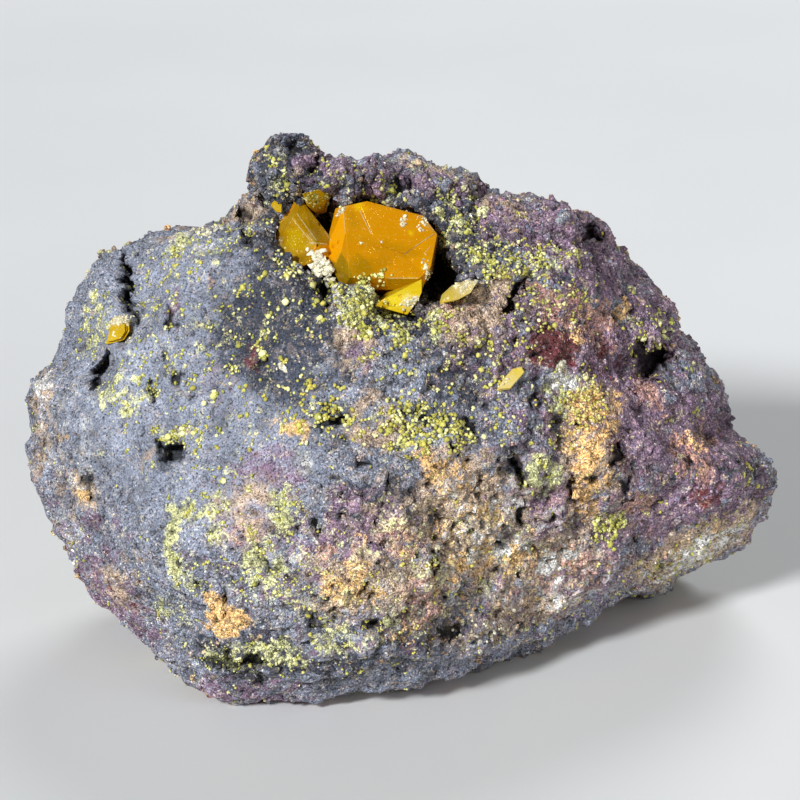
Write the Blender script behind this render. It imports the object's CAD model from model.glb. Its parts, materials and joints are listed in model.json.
"""Wulfenite with mimetite on gossan: the finish of every surface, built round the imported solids.

The display face has a frame of its own, in millimetres: u to the right, v up along the face, w out of it.
FACE turns a point of that frame into a world point in metres. Places on the rock are written in (u, v), and
directions from the axis in degrees.
"""

import json
import math
from collections import namedtuple

import bmesh
import bpy
import numpy as np
from bpy.props import FloatProperty, FloatVectorProperty, IntProperty, PointerProperty
from mathutils import Euler, Matrix, Vector, noise
from mathutils.bvhtree import BVHTree

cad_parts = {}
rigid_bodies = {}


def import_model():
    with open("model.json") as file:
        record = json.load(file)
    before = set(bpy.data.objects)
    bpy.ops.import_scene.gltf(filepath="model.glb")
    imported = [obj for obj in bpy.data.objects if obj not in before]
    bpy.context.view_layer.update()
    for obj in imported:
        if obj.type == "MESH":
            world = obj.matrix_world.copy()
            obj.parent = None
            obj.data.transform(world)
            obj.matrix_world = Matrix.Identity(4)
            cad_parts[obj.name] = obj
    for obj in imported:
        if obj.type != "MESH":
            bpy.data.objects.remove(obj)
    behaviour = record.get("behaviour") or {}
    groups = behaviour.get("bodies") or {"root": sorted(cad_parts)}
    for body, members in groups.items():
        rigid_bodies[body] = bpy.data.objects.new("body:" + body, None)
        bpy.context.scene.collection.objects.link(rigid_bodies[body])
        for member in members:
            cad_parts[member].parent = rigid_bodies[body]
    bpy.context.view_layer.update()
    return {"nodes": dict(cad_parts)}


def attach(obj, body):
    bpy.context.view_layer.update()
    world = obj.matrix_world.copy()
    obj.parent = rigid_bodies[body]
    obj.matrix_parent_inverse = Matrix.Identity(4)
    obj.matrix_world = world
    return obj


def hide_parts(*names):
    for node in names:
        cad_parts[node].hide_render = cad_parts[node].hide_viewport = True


bl_info = {
    "name": "Wulfenite with Mimetite",
    "version": (1, 0, 0),
    "blender": (4, 5, 0),
    "location": "View3D > Sidebar > Specimen",
    "description": "A gossan hand specimen with a wulfenite cluster and mimetite balls",
    "category": "Add Mesh",
}

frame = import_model()

MM = 0.001
LEAN = math.radians(20.0)  # how far the display face leans back
FACE_HEIGHT = 26.0
STAND_SHIFT = Vector((-0.437, -5.904, -0.9))  # what moves the specimen onto its origin
FACE = (
    Matrix.Scale(MM, 4)
    @ Matrix.Translation(STAND_SHIFT + Vector((0.0, 0.0, FACE_HEIGHT)))
    @ Matrix.Rotation(math.radians(90.0) - LEAN, 4, "X")
)
OUTWARDS = (FACE.to_3x3() @ Vector((0.0, 0.0, 1.0))).normalized()
FAR_OUT = 60.0  # a w well in front of the display face
SHOWN_FACING = 0.25  # how much of a normal has to point outwards for its surface to get the finest points
HIDDEN_DEPTH = -12.0  # the w behind which the rock isn't part of the display face
# Relief of the rock: sizes in millimetres. A fractal has a roughness, a step between its sizes and their
# number.
BEND_SIZE, BEND_REACH = 2.2, 0.9
CRAG_SIZE, CRAG_FRACTAL = 3.6, (0.55, 2.15, 5)
GRIT_SIZE, GRIT_FRACTAL = 0.6, (0.4, 2.2, 2)
KNOB_SPACING = 1.5
KNOB_TOP, KNOB_ROUNDNESS = 0.8, 1.5
CREASE_STEEPNESS, CREASE_DEPTH = 6.0, 0.3
CREASE_DARKNESS, LOW_CRAGS = 0.4, 0.3  # creases are dark where the crags are lower than this
HOLLOW_DARKNESS, HOLLOW_LEVEL = 0.45, 0.1
HOLE_SIZE, HOLE_LEVEL, HOLE_STEEPNESS, HOLE_DEPTH = 0.85, 0.38, 4.0, 0.7
HOLES_START = Vector((31.0, 17.0, 5.0))
CRYSTAL_REACH = 1.1 * MM  # the rock is even this near to a crystal
NET_SMOOTHINGS = 2
SHAPES, KNOB_SHAPES, BUNCH_SHAPES = 8, 12, 10  # how many shapes are copied over and over
CAMERA_V = 2.0  # where on the display face the camera looks
LINE_STEPS = 8  # parts of a growth line
NICK_EDGE = 0.8  # shortest edge that gets nicks
CRUST_DEPTH = 0.25  # how deep in its crust a ball of the upper layer lies
SWARM_SHARE = 0.9  # share of a swarm's density that isn't left to the neighbours of its balls
LOWEST_SWARM = -22.0  # the w behind which swarms end
SWARM_FACING, CRUST_FACING = 0.05, 0.1


def rows(kind, *values):
    """A table's rows, each a tuple with names of its own."""
    return tuple(kind(*row) for row in values)


# Stains of the rock: where each lies on the display face, its half sizes, its turn and its strength.
Stain = namedtuple("Stain", "u v half_u half_v turn strength")
STAINS = {
    "dark_slate": rows(
        Stain,
        (-12.2, 8.2, 5.5, 4.8, 0, 1.15), (-14.0, 5.0, 7.0, 10.0, 0, 0.3), (-11.5, 25.5, 4.5, 4.5, 0, 0.75),
        (-3.5, 16.0, 12.0, 8.0, -17, 1.0), (-6.5, 3.0, 4.5, 4.0, 0, 0.45), (7.5, 19.5, 2.6, 3.6, 0, 0.5),
        (33.0, -6.0, 4.5, 6.0, 0, 0.7), (6.5, 19.5, 3.2, 3.6, 0, 0.6), (33.6, -2.4, 2.2, 3.4, 20, 1.3),
        (30.6, -8.6, 1.6, 1.2, 0, 0.7), (27.4, -13.2, 0.9, 0.6, 20, 0.9), (24.6, -15.6, 0.8, 0.5, 0, 0.9),
        (31.6, -11.2, 0.8, 0.5, 30, 0.9), (33.4, -12.4, 0.6, 0.5, 0, 0.8), (28.6, -15.6, 0.7, 0.4, 20, 0.8),
        (5.0, 21.0, 3.6, 4.2, 0, 0.85), (3.2, 13.0, 2.6, 4.5, 0, 0.9), (6.5, 4.8, 4.2, 4.0, 0, 0.95),
        (-0.4, -8.0, 5.2, 3.2, -8, 0.95), (18.3, 14.2, 3.0, 2.0, 0, 0.9), (25.0, 9.5, 3.0, 4.0, 0, 0.7),
        (26.5, -5.3, 1.8, 2.2, 0, 0.7), (33.6, -4.9, 2.2, 2.6, 0, 0.8), (2.0, -20.5, 5.2, 2.0, 0, 0.9),
        (6.0, -16.0, 16.0, 7.0, 8, 0.2), (-14.3, -22.8, 6.0, 1.7, -5, 1.7), (-5.5, -23.5, 3.0, 1.5, 0, 0.7),
    ),
    "mauve": rows(
        Stain,
        (23.0, -1.0, 16.0, 19.0, 0, 0.5), (35.5, -9.5, 2.5, 4.0, 0, 0.5), (3.0, -15.0, 18.0, 9.0, 6, 0.32),
        (-31.0, -13.0, 5.0, 10.0, 30, 0.4), (17.0, 20.8, 4.5, 2.0, -30, 0.9), (9.0, 9.0, 7.0, 5.0, 0, 0.35),
        (12.6, 18.4, 4.8, 2.8, -20, 1.1), (20.0, 17.0, 3.0, 4.6, -35, 1.0), (26.0, 11.5, 4.0, 5.0, -30, 0.8),
        (21.0, 4.8, 4.2, 5.4, -20, 1.3), (23.6, -0.2, 5.0, 4.0, 0, 1.3), (29.0, -2.0, 5.5, 4.0, 0, 0.9),
        (27.0, -9.2, 6.0, 2.2, 10, 1.0), (14.5, -9.5, 4.2, 3.4, 0, 1.1), (-3.4, -11.0, 5.4, 4.0, 0, 0.75),
        (14.5, -17.0, 6.0, 2.6, 15, 0.6), (-28.0, -19.5, 3.0, 6.0, 45, 0.7), (-4.0, 24.8, 7.0, 3.0, -5, 0.8),
        (5.5, 22.8, 4.0, 2.0, -20, 0.6), (-12.8, -4.5, 4.5, 2.0, 0, 0.7), (-14.0, -12.0, 6.0, 6.0, 0, 0.3),
        (-18.0, 3.0, 3.0, 3.0, 0, 0.3), (-4.4, 7.1, 2.0, 2.6, 0, 0.6), (-15.0, -27.0, 6.0, 2.0, 0, 0.7),
        (-22.0, 11.0, 0.5, 1.8, 0, 0.8),
    ),
    "rose": rows(
        Stain,
        (12.0, -9.0, 16.0, 9.0, 0, 0.16), (17.0, 10.8, 5.2, 2.2, -25, 0.9), (24.8, 2.3, 1.8, 1.6, 0, 0.9),
        (29.2, -3.3, 2.4, 2.4, 0, 0.75), (23.0, -8.1, 1.8, 1.2, 0, 0.8), (2.0, -16.9, 2.2, 2.4, 0, 0.9),
        (-0.6, -11.4, 2.4, 1.3, 0, 0.8), (-6.3, -12.7, 1.4, 0.8, 0, 0.8), (6.0, 10.0, 2.4, 1.6, 0, 0.6),
        (16.2, -13.2, 2.2, 1.4, 0, 0.6), (15.5, -15.6, 5.0, 2.0, 12, 0.4), (25.0, -15.5, 3.5, 1.5, 25, 0.4),
        (-18.2, 13.4, 0.5, 0.9, 0, 0.7), (-15.5, -9.6, 3.2, 2.2, 0, 0.45),
    ),
    "tan": rows(
        Stain,
        (6.0, -12.0, 18.0, 8.5, 8, 0.38), (-34.0, -6.0, 2.6, 10.0, 12, 0.25),
        (10.0, 10.0, 7.0, 4.0, 0, 0.25), (9.5, 12.0, 1.6, 2.2, -15, 1.0), (6.2, 9.6, 3.0, 2.2, 0, 0.7),
        (10.5, 21.0, 2.8, 1.0, -15, 0.9), (-5.0, 7.0, 2.4, 2.4, 0, 0.7), (-2.3, -0.5, 3.6, 2.4, 0, 0.7),
        (6.4, -7.9, 4.2, 4.6, -15, 1.1), (11.0, -13.8, 6.5, 2.0, 10, 0.9), (-3.8, -16.2, 4.4, 2.8, 0, 1.0),
        (12.4, -19.2, 5.5, 1.8, 20, 0.8), (-36.2, 0.0, 1.2, 5.0, 0, 0.7), (-30.9, -7.1, 1.2, 1.8, 0, 0.9),
        (-27.5, -16.5, 2.0, 2.6, 40, 0.7), (-15.5, -9.6, 3.6, 2.4, 0, 0.45), (-15.0, -7.0, 5.0, 1.6, 0, 0.4),
        (-25.5, -13.0, 1.6, 1.4, 0, 0.5), (-24.5, -3.4, 0.7, 0.7, 0, 0.6), (-22.0, -1.5, 0.8, 0.6, 0, 0.5),
        (-15.6, 21.0, 2.4, 1.6, 0, 0.9), (-21.5, 19.0, 3.5, 1.0, 15, 0.6), (30.4, -13.4, 7.0, 2.5, 28, 1.5),
        (4.0, 25.6, 4.0, 1.4, -15, 0.6), (18.5, -2.0, 3.4, 6.0, 0, 0.65),
    ),
    "rust": rows(
        Stain,
        (18.4, 0.2, 2.6, 4.2, 5, 0.85), (5.0, -15.0, 14.0, 6.5, 8, 0.22), (29.0, -13.6, 6.0, 1.6, 28, 0.3),
        (18.3, -6.0, 2.0, 2.8, 0, 1.0), (5.5, -5.5, 2.4, 1.6, 0, 0.6), (8.0, -9.5, 2.2, 1.6, 0, 0.7),
        (-17.6, -17.9, 1.2, 1.7, 25, 1.8), (-16.8, -19.1, 1.9, 1.0, -12, 1.8),
        (29.3, -2.6, 1.6, 1.4, 0, 0.45), (9.0, -13.4, 4.0, 1.2, 8, 0.7), (-4.6, -15.8, 3.0, 1.6, -15, 0.8),
        (-10.2, -0.6, 1.6, 1.2, 0, 0.9), (-33.5, -1.5, 0.5, 0.6, 0, 0.7), (2.6, -4.1, 1.3, 1.1, 0, 0.9),
        (21.9, 10.5, 0.9, 2.0, 0, 0.6), (16.7, 8.3, 0.8, 1.0, 0, 0.7), (-31.0, -7.6, 0.7, 1.0, 0, 0.6),
    ),
    "red": rows(
        Stain,
        (14.5, 7.2, 2.0, 2.0, 0, 2.0), (31.0, -7.0, 2.0, 1.8, 0, 0.7), (21.4, -3.4, 1.0, 1.2, 0, 0.9),
        (20.0, 6.0, 1.6, 2.2, 0, 0.5), (-14.1, 5.9, 0.7, 1.4, 20, 0.8), (-22.0, 10.0, 0.4, 1.6, 0, 0.5),
    ),
    "lime": rows(
        Stain,
        (3.0, -14.0, 16.0, 7.0, 5, 0.2), (-20.0, -8.6, 2.0, 1.2, 30, 0.7),
        (-21.6, -11.6, 0.9, 3.0, 10, 0.75), (-18.2, -10.4, 0.7, 1.9, 10, 0.7),
        (-20.6, -14.4, 1.8, 1.0, 0, 0.55), (-10.9, -8.7, 1.2, 2.2, 0, 0.55),
        (-13.2, -12.7, 1.5, 2.0, 0, 0.42), (-11.8, -15.3, 1.8, 1.5, 0, 0.36),
        (-22.5, -18.6, 2.0, 2.6, 30, 0.35), (-14.3, -22.6, 5.4, 1.3, 0, 0.5),
        (-6.8, -21.6, 1.8, 1.6, 0, 0.5), (28.8, -13.9, 6.0, 1.5, 27, 0.2), (13.7, -5.0, 1.5, 1.8, 0, 0.75),
        (-22.2, 17.6, 1.8, 1.0, 30, 0.6), (-27.2, 2.4, 2.6, 2.2, 0, 0.25), (-30.6, 9.8, 1.6, 3.0, -10, 0.2),
        (-3.6, 11.6, 1.8, 2.2, 0, 0.9), (16.0, 3.2, 2.6, 2.4, 0, 0.4),
    ),
    "cream": rows(
        Stain,
        (8.0, -15.0, 15.0, 6.5, 10, 0.2), (-32.5, -1.5, 4.0, 8.0, 10, 0.22), (9.0, -7.0, 6.0, 4.0, 0, 0.25),
        (-16.0, -12.0, 6.0, 5.0, 0, 0.05), (15.2, 4.4, 1.2, 1.3, 0, 0.9), (15.2, -14.4, 2.6, 0.7, 10, 0.45),
        (6.8, -10.5, 2.0, 0.8, 0, 0.4), (-20.7, 18.8, 0.8, 0.8, 0, 0.7), (-19.1, 16.8, 1.0, 0.5, 0, 0.7),
        (-9.6, -3.7, 1.6, 0.8, 0, 0.5), (-7.4, 15.0, 1.2, 1.6, 20, 1.0), (-5.9, 11.6, 0.6, 2.6, 15, 0.8),
        (-36.0, 2.5, 1.0, 2.6, 0, 0.5), (30.2, -14.2, 6.0, 1.8, 28, 0.8), (15.0, -15.8, 5.5, 2.6, 12, 0.2),
        (18.0, -18.0, 3.5, 1.2, 15, 0.3), (10.0, -12.6, 5.0, 1.0, 8, 0.35),
        (-16.5, -10.0, 3.0, 2.4, 0, 0.08), (-9.5, -13.0, 2.0, 1.0, 0, 0.3),
    ),
}
CALM_SLATE = Stain(-20.0, 4.0, 13.0, 15.0, 15, 1.0)
STAIN_EDGE = (1.55, 1.1)  # where a stain's soft edge ends and how wide it is, in half sizes
STAIN_WANDER = (3.0, 41.0), (3.6, 1.3), (1.1, 0.65)  # the noise's starts, and sizes and heights of its waves
FRONT_STAIN_STRENGTH = 0.9
FRONT_START, FRONT_EDGE = 0.15, 0.35  # how far round the sides the display face's stains fade out
BACK_STAINS = {
    "dark_slate": 0.4,
    "mauve": 0.3,
    "rose": 0.6,
    "tan": 0.4,
    "rust": 0.5,
    "red": 0.65,
    "lime": 0.62,
    "cream": 0.75,
}
BACK_STAIN_SIZE, BACK_STAIN_HEIGHT, BACK_STAIN_START = 9.0, 0.8, 100.0
BACK_STAIN_EDGE = 0.6
BACK_STAIN_STRENGTH = 0.6
MOTTLE = 1.5  # how strongly a stain breaks up into small patches
STRAY = 0.55  # how strongly it shows in small patches outside of itself
PLAIN = 0.08  # how much below a stain's edge the rest of the ground lies
CALM_MOTTLE = 0.65  # how much less mottled the smooth slate is
MOTTLE_SIZES = (1.5, 0.5)  # sizes of the small patches into which all stains break up
MOTTLE_HEIGHT, MOTTLE_START = 0.6, 200.0
CALM_EDGE = (1.3, 0.6)
TONE_WAVES = ((3.4, 150.0, 0.42), (1.2, 160.0, 0.32))  # size, start and height of the light and dark patches

# Open cracks and pits of the display face: as a stain, with a depth.
Pit = namedtuple("Pit", "u v half_u half_v turn depth")
PITS = rows(
    Pit,
    (4.4, 14.6, 1.3, 3.0, 15, 3.6), (3.4, 12.2, 1.5, 1.2, 0, 3.2), (-0.4, 10.1, 2.7, 0.9, -10, 3.4),
    (-7.3, 12.9, 0.8, 1.5, 10, 3.0), (-7.6, 20.2, 1.0, 1.9, -20, 2.0), (-27.3, 13.4, 0.48, 3.3, 10, 2.8),
    (-26.4, 10.6, 0.5, 1.2, 20, 2.0), (-29.8, 4.7, 0.6, 1.9, -12, 3.0), (-21.9, -3.1, 1.5, 1.2, 15, 2.8),
    (-23.2, -2.2, 0.5, 0.8, 0, 1.8), (-24.1, 3.0, 0.35, 1.1, 10, 1.1), (-21.6, 4.2, 0.35, 0.9, -20, 0.8),
    (-22.6, 6.2, 0.3, 0.6, 30, 0.7), (-20.0, 2.4, 0.3, 0.5, -40, 0.6), (25.4, 5.9, 2.3, 1.5, 38, 4.4),
    (24.0, 7.0, 0.6, 0.9, 0, 1.8), (19.4, 18.6, 0.9, 1.0, 0, 2.2), (17.9, 18.0, 0.7, 0.6, 0, 1.4),
    (10.9, 11.9, 2.5, 0.42, 61, 2.4), (11.4, -4.9, 2.1, 0.55, -60, 2.4), (21.2, -3.4, 0.7, 1.2, -5, 1.8),
    (22.2, -7.0, 0.4, 1.4, -5, 1.0), (16.8, -6.7, 0.35, 1.6, 5, 1.2), (3.1, -13.5, 0.35, 1.1, 0, 1.6),
    (-6.4, 0.0, 1.8, 0.5, 20, 1.8), (2.0, 0.5, 0.7, 1.1, 20, 1.2), (6.6, -0.4, 0.7, 1.3, 30, 1.3),
    (-19.3, -15.4, 0.6, 0.4, 0, 1.2), (-17.7, -18.8, 0.22, 0.3, 0, 0.7), (-21.8, -10.6, 0.4, 0.4, 0, 0.6),
    (-30.6, -6.0, 0.5, 0.6, 0, 0.8), (-29.7, -7.6, 0.4, 0.5, 0, 0.8), (-16.8, -17.0, 0.25, 1.5, 0, 0.9),
    (-15.5, -23.4, 3.8, 0.7, 0, 1.6), (-22.1, 9.7, 0.3, 1.5, 5, 0.9), (-13.3, 5.4, 0.8, 0.4, 0, 0.8),
    (-14.8, 17.9, 0.6, 1.0, 0, 1.6), (-15.6, 20.4, 0.6, 0.9, 0, 1.6), (-13.0, 21.7, 0.5, 0.9, 0, 1.4),
    (-10.7, 26.4, 1.0, 0.8, 0, 1.2), (-8.4, 24.4, 0.8, 0.6, 0, 1.2), (-0.1, 23.0, 1.1, 0.6, 0, 1.2),
    (-8.4, -19.5, 0.5, 0.8, 0, 1.0), (7.5, -6.0, 0.5, 0.5, 0, 0.9), (13.2, 2.0, 0.9, 0.5, 30, 0.9),
    (28.6, -4.0, 0.5, 0.4, 0, 0.7), (-2.6, -19.6, 0.9, 0.5, 0, 1.2), (4.6, -20.6, 1.6, 0.5, 10, 1.2),
    (11.8, -9.0, 0.4, 1.0, -30, 1.0), (14.6, -9.4, 0.9, 0.3, 45, 0.8),
)
PIT_WANDER = (7.0, 29.0), (1.3, 0.75), (0.5, 0.45)
PIT_FACING, AREA_FACING = -0.2, -0.3  # how far round the sides pits and rough areas reach
PIT_EDGE = (1.2, 0.55)
PIT_SHADE_EDGE = (1.15, 0.5)
# Where sharp folds of the rock are evened out, and how many times. The strength isn't used.
EVENED = (Stain(-2.3, -8.2, 1.2, 2.4, 0, 1.0), Stain(-3.4, -12.8, 2.6, 1.1, 0, 1.0))
EVENINGS = 14

# Grains and knobs. Patches are given as size, start, middle, height, lowest and highest value, and a tone as
# its shift and spread.
GRAIN_PATCHES = (2.2, 60.0, 0.7, 2.4, 0.1, 3.0)
CALM_GRAIN_EDGE = (1.2, 0.4)
CALM_BARENESS = 0.55
GRAIN_FOOT, KNOB_FOOT = 0.3, 0.9  # how far above the floor they start
GRAIN_VARIETY, KNOB_VARIETY = 0.36, 0.28
GRAIN_ASPECTS, KNOB_ASPECTS = (0.65, 1.3), (0.75, 1.2)
GRAIN_UNEVENNESS, KNOB_UNEVENNESS = 0.22, 0.26
GRAIN_TONE, KNOB_TONE = (0.0, 0.13), (-0.06, 0.1)
GRAIN_LIFT = 0.12
GRAIN_FACING = 0.1
KNOB_PATCHES = (2.8, 90.0, 1.0, 2.0, 0.2, 2.5)
KNOB_EDGE = (1.2, 0.5)
LIGHTEST_TONE = 1.6
BACK_KNOBS = 0.12  # on a square millimetre
PIT_BARENESS = 0.85
# Rough knobs of the rock: where they lie, and how many to a square millimetre.
Knobs = namedtuple("Knobs", "u v half_u half_v turn per_mm2")
KNOBS = rows(
    Knobs,
    (-9.0, 24.5, 6.0, 4.5, 0, 1.1), (0.0, 22.0, 8.5, 3.2, -5, 1.1), (10.0, 20.5, 6.5, 3.4, -15, 0.8),
    (-3.0, 15.5, 11.0, 7.5, -17, 0.7), (6.5, 16.5, 2.8, 4.5, 0, 0.9), (-3.4, 12.0, 2.4, 2.6, 0, 1.4),
    (1.0, 8.6, 6.5, 2.0, -12, 0.7), (9.5, 7.0, 5.0, 4.0, 0, 0.2), (0.0, 0.0, 42.0, 32.0, 0, 0.06),
)

# Swarms of mimetite balls: where they lie, how many to a square millimetre, their diameter, and how warm.
Swarm = namedtuple("Swarm", "u v half_u half_v turn per_mm2 diameter warmth")
SWARMS = rows(
    Swarm,
    (-19.5, 9.0, 8.5, 8.0, 20, 0.65, 0.37, 0.1), (-30.4, 10.0, 1.8, 3.2, -10, 2.0, 0.29, 0.0),
    (-26.6, 2.6, 2.8, 2.4, 0, 2.2, 0.31, 0.0), (-23.0, 5.5, 3.0, 3.6, 0, 0.8, 0.37, 0.1),
    (-19.0, 16.8, 6.0, 2.4, 25, 1.2, 0.38, 0.3), (-11.5, 9.5, 5.5, 6.5, 0, 0.36, 0.60, 0.3),
    (-14.0, 2.0, 5.5, 4.0, 0, 0.35, 0.62, 0.2), (-8.0, 0.8, 2.8, 2.9, 0, 1.1, 0.68, 0.5),
    (-1.6, 9.6, 4.4, 1.6, -42, 2.2, 0.62, 0.2), (-3.7, 11.8, 2.4, 3.0, 10, 1.6, 0.52, 0.15),
    (0.4, -0.8, 6.0, 2.6, -12, 1.9, 0.54, 0.3), (6.5, 6.5, 3.4, 3.2, 0, 0.9, 0.55, 0.3),
    (5.8, 19.4, 2.4, 4.2, 0, 3.8, 0.40, 0.0), (12.4, 15.2, 5.4, 1.5, 12, 2.6, 0.40, 0.25),
    (8.0, 16.4, 2.4, 2.6, 35, 2.0, 0.38, 0.1), (16.6, 12.2, 2.0, 2.6, 0, 1.3, 0.42, 0.25),
    (3.6, 9.0, 1.3, 2.2, 0, 2.0, 0.58, 0.3), (11.0, 6.8, 3.2, 1.2, 20, 1.0, 0.52, 0.3),
    (5.5, 2.5, 5.5, 3.5, 0, 0.4, 0.52, 0.3), (16.8, 2.2, 3.2, 3.4, 0, 1.9, 0.36, 0.9),
    (15.2, -0.8, 2.4, 2.4, 0, 0.9, 0.42, 0.4), (20.7, -10.3, 1.7, 1.5, 30, 3.6, 0.52, 0.1),
    (23.4, 9.4, 0.9, 3.0, 10, 1.2, 0.50, 0.2), (26.5, 9.2, 1.6, 1.6, 0, 1.8, 0.5, 0.1),
    (27.5, 0.3, 2.6, 0.9, 0, 1.0, 0.6, 0.4), (35.4, -5.6, 1.0, 1.4, 0, 0.9, 0.6, 0.4),
    (-17.6, -7.0, 4.2, 2.4, 0, 1.3, 0.38, 0.1), (-22.4, -1.4, 1.6, 0.6, 0, 5.0, 0.44, 0.1),
    (-23.7, -3.4, 0.4, 1.2, 0, 4.0, 0.40, 0.1), (-19.6, -1.8, 1.2, 2.0, 20, 2.4, 0.44, 0.2),
    (-11.0, -8.4, 1.4, 2.4, 0, 1.9, 0.38, 0.1), (-13.4, -12.4, 1.6, 2.2, 20, 2.0, 0.34, 0.1),
    (3.0, 5.0, 7.0, 6.0, 0, 0.4, 0.52, 0.3), (-14.5, -3.6, 4.0, 2.0, 0, 0.35, 0.5, 0.3),
    (-15.0, -13.5, 7.0, 5.5, -15, 0.7, 0.32, 0.0), (-12.0, -15.5, 2.2, 2.6, 20, 0.9, 0.34, 0.0),
    (-13.6, -23.0, 6.0, 1.7, 0, 1.2, 0.32, 0.0), (-6.5, -18.5, 4.5, 3.0, 0, 0.35, 0.34, 0.3),
    (28.5, -14.5, 8.0, 2.2, 32, 0.7, 0.34, 0.6), (13.6, -5.2, 1.9, 1.6, 0, 1.7, 0.42, 0.2),
    (9.4, -1.2, 3.0, 1.6, 0, 0.7, 0.5, 0.3), (-11.9, 24.2, 1.2, 2.4, 0, 1.8, 0.72, 0.1),
    (-1.4, 22.0, 1.6, 0.8, 0, 3.0, 0.72, -0.3), (-4.5, 23.2, 4.5, 1.5, 0, 1.3, 0.42, 0.1),
    (-9.0, 20.8, 1.4, 0.8, 0, 1.8, 0.55, 0.1), (4.0, -13.0, 4.5, 2.0, 0, 0.3, 0.4, 0.6),
    (0.0, -18.0, 10.0, 5.0, 0, 0.2, 0.34, 0.6), (0.0, 0.0, 42.0, 32.0, 0, 0.1, 0.34, 0.3),
)
SWARM_CLUMPS = (1.1, 80.0, 0.55, 3.2, 0.05, 2.6)  # the clumps and bare gaps inside a swarm
SWARM_WANDER, SWARM_EDGE = ((13.0, 57.0), (2.4, 1.6)), (1.25, 0.6)
BACK_PATCHES = (8.0, 33.0, -0.12, 1.0, 0.0, 0.3)  # where the back isn't bare
BACK_EDGE, BACK_FOOT = (0.05, 0.2), 1.0
BACK_SWARM_DENSITY = 1.1
BACK_BALL_DIAMETER, BACK_BALL_WARMTH = 0.46, 0.25
BIG_BALL = 0.44  # balls at least this wide are the smoother ones
POWDER = 0.75
POWDER_PER_BALL = 0.3
POWDER_EDGE = (1.3, 0.7)
POWDER_PATCHES = (0.9, 71.0, 0.35, 2.2, 0.0, 1.3)
BALL_WIDTH = 0.82  # share of a swarm's diameter that its balls have
BALL_VARIETY, WARMTH_VARIETY = 0.25, 0.22
SMALLEST_BALL, LARGEST_BALL = 0.2, 0.72
BALL_LIFT = 0.16  # how far a ball's centre stands out of the rock, as a share of its width
BALL_FOOT = 0.7  # how far above the floor its centre stays
BALL_ASPECTS = (0.8, 1.2)
BALL_UNEVENNESS, SMALL_BALL_UNEVENNESS = 0.2, 0.16
LUMPS_ACROSS, LUMP_HEIGHT, LUMP_JITTER = 3.2, 1.6, 0.3
BUNCH_REACH, BUNCH_RISE, BUNCH_RADII, BUNCH_JITTER = (0.15, 0.34), (-0.1, 0.15), (0.22, 0.34), 0.15
BALL_OVERLAP = 0.34  # how near two balls may be, as a share of their radii
BALL_FLATNESS = 0.8
SINGLE_SHARE = 0.35  # share of the larger balls that aren't in a bunch
NEIGHBOURS = 1.3  # balls beside each ball of a swarm
NEIGHBOUR_DISTANCE, NEIGHBOUR_WIDTH = 0.6, 0.8  # as shares of the swarm's diameter
# How the balls lie on each crust. A share of them lies lower, on the rock round it.
CRUST_SHARES = (0.6, 0.4)
Crust = namedtuple("Crust", "per_mm2 diameter warmth")
CRUSTS = {
    "mimetite_mound_crust": Crust(5.0, 0.42, 0.15),
    "mimetite_right_of_vug": Crust(5.5, 0.36, 0.2),
    "mimetite_below_vug": Crust(5.5, 0.44, 0.3),
    "mimetite_middle_crust": Crust(2.4, 0.54, 0.4),
    "mimetite_upper_band": Crust(2.8, 0.40, 0.2),
    "mimetite_orange_patch": Crust(4.0, 0.34, 0.95),
    "mimetite_right_cluster": Crust(8.0, 0.42, 0.1),
}

# The large crystals' corners in (u, v, w).
MAIN_BLOCK = (
    (-5.4, 20.8, 10.3), (-3.2, 21.3, 10.1), (0.0, 20.5, 9.9), (2.2, 19.9, 9.9), (3.6, 18.1, 10.0),
    (3.0, 14.9, 10.9), (1.8, 13.7, 11.3), (-4.9, 13.8, 11.9), (-5.2, 17.9, 11.1), (-6.3, 20.7, 8.3),
    (-6.9, 18.0, 8.8), (-7.4, 16.2, 9.2), (-5.5, 12.7, 10.3), (2.1, 12.7, 9.9), (3.3, 14.8, 5.9),
    (3.9, 18.1, 4.8), (2.4, 20.2, 4.4), (-3.0, 21.5, 3.7), (-6.1, 20.7, 3.7), (-7.2, 16.4, 3.0),
    (-4.9, 12.4, 3.4), (2.2, 12.8, 3.5),
)
LEFT_CRYSTAL = (
    (-10.3, 21.4, 7.8), (-9.5, 21.4, 7.9), (-11.4, 20.3, 7.7), (-12.2, 17.6, 8.0), (-12.4, 16.5, 8.3),
    (-12.0, 15.4, 8.8), (-11.0, 14.5, 9.6), (-10.3, 14.6, 10.0), (-8.7, 15.3, 10.7), (-8.1, 17.0, 10.9),
    (-10.4, 19.8, 9.4), (-6.7, 17.8, 9.2), (-6.5, 16.1, 9.4), (-9.3, 21.0, 4.6), (-6.5, 17.3, 4.4),
    (-11.8, 17.7, 3.8), (-11.2, 14.7, 3.1), (-8.3, 14.4, 3.2),
)
WEDGE = (
    (-2.5, 11.1, 12.2), (-1.4, 11.8, 12.4), (2.1, 13.7, 11.2), (2.1, 12.4, 12.3), (1.8, 11.7, 12.4),
    (0.7, 10.2, 12.3), (-1.9, 11.2, 7.6), (0.6, 10.7, 6.9), (2.0, 13.0, 6.3), (-1.0, 13.0, 7.3),
)
# The thin plate that stands on the main block's face: its corners in (u, v), and how far it stands out.
UPPER_PLATE = (
    (-3.75, 20.6), (-3.1, 21.0), (0.0, 20.35), (2.05, 19.75), (3.35, 18.15), (0.45, 16.15), (-1.45, 16.8),
    (-2.6, 17.95),
)
PLATE_HEIGHT = 0.13
PLATE_DEPTH = 0.8
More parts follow.
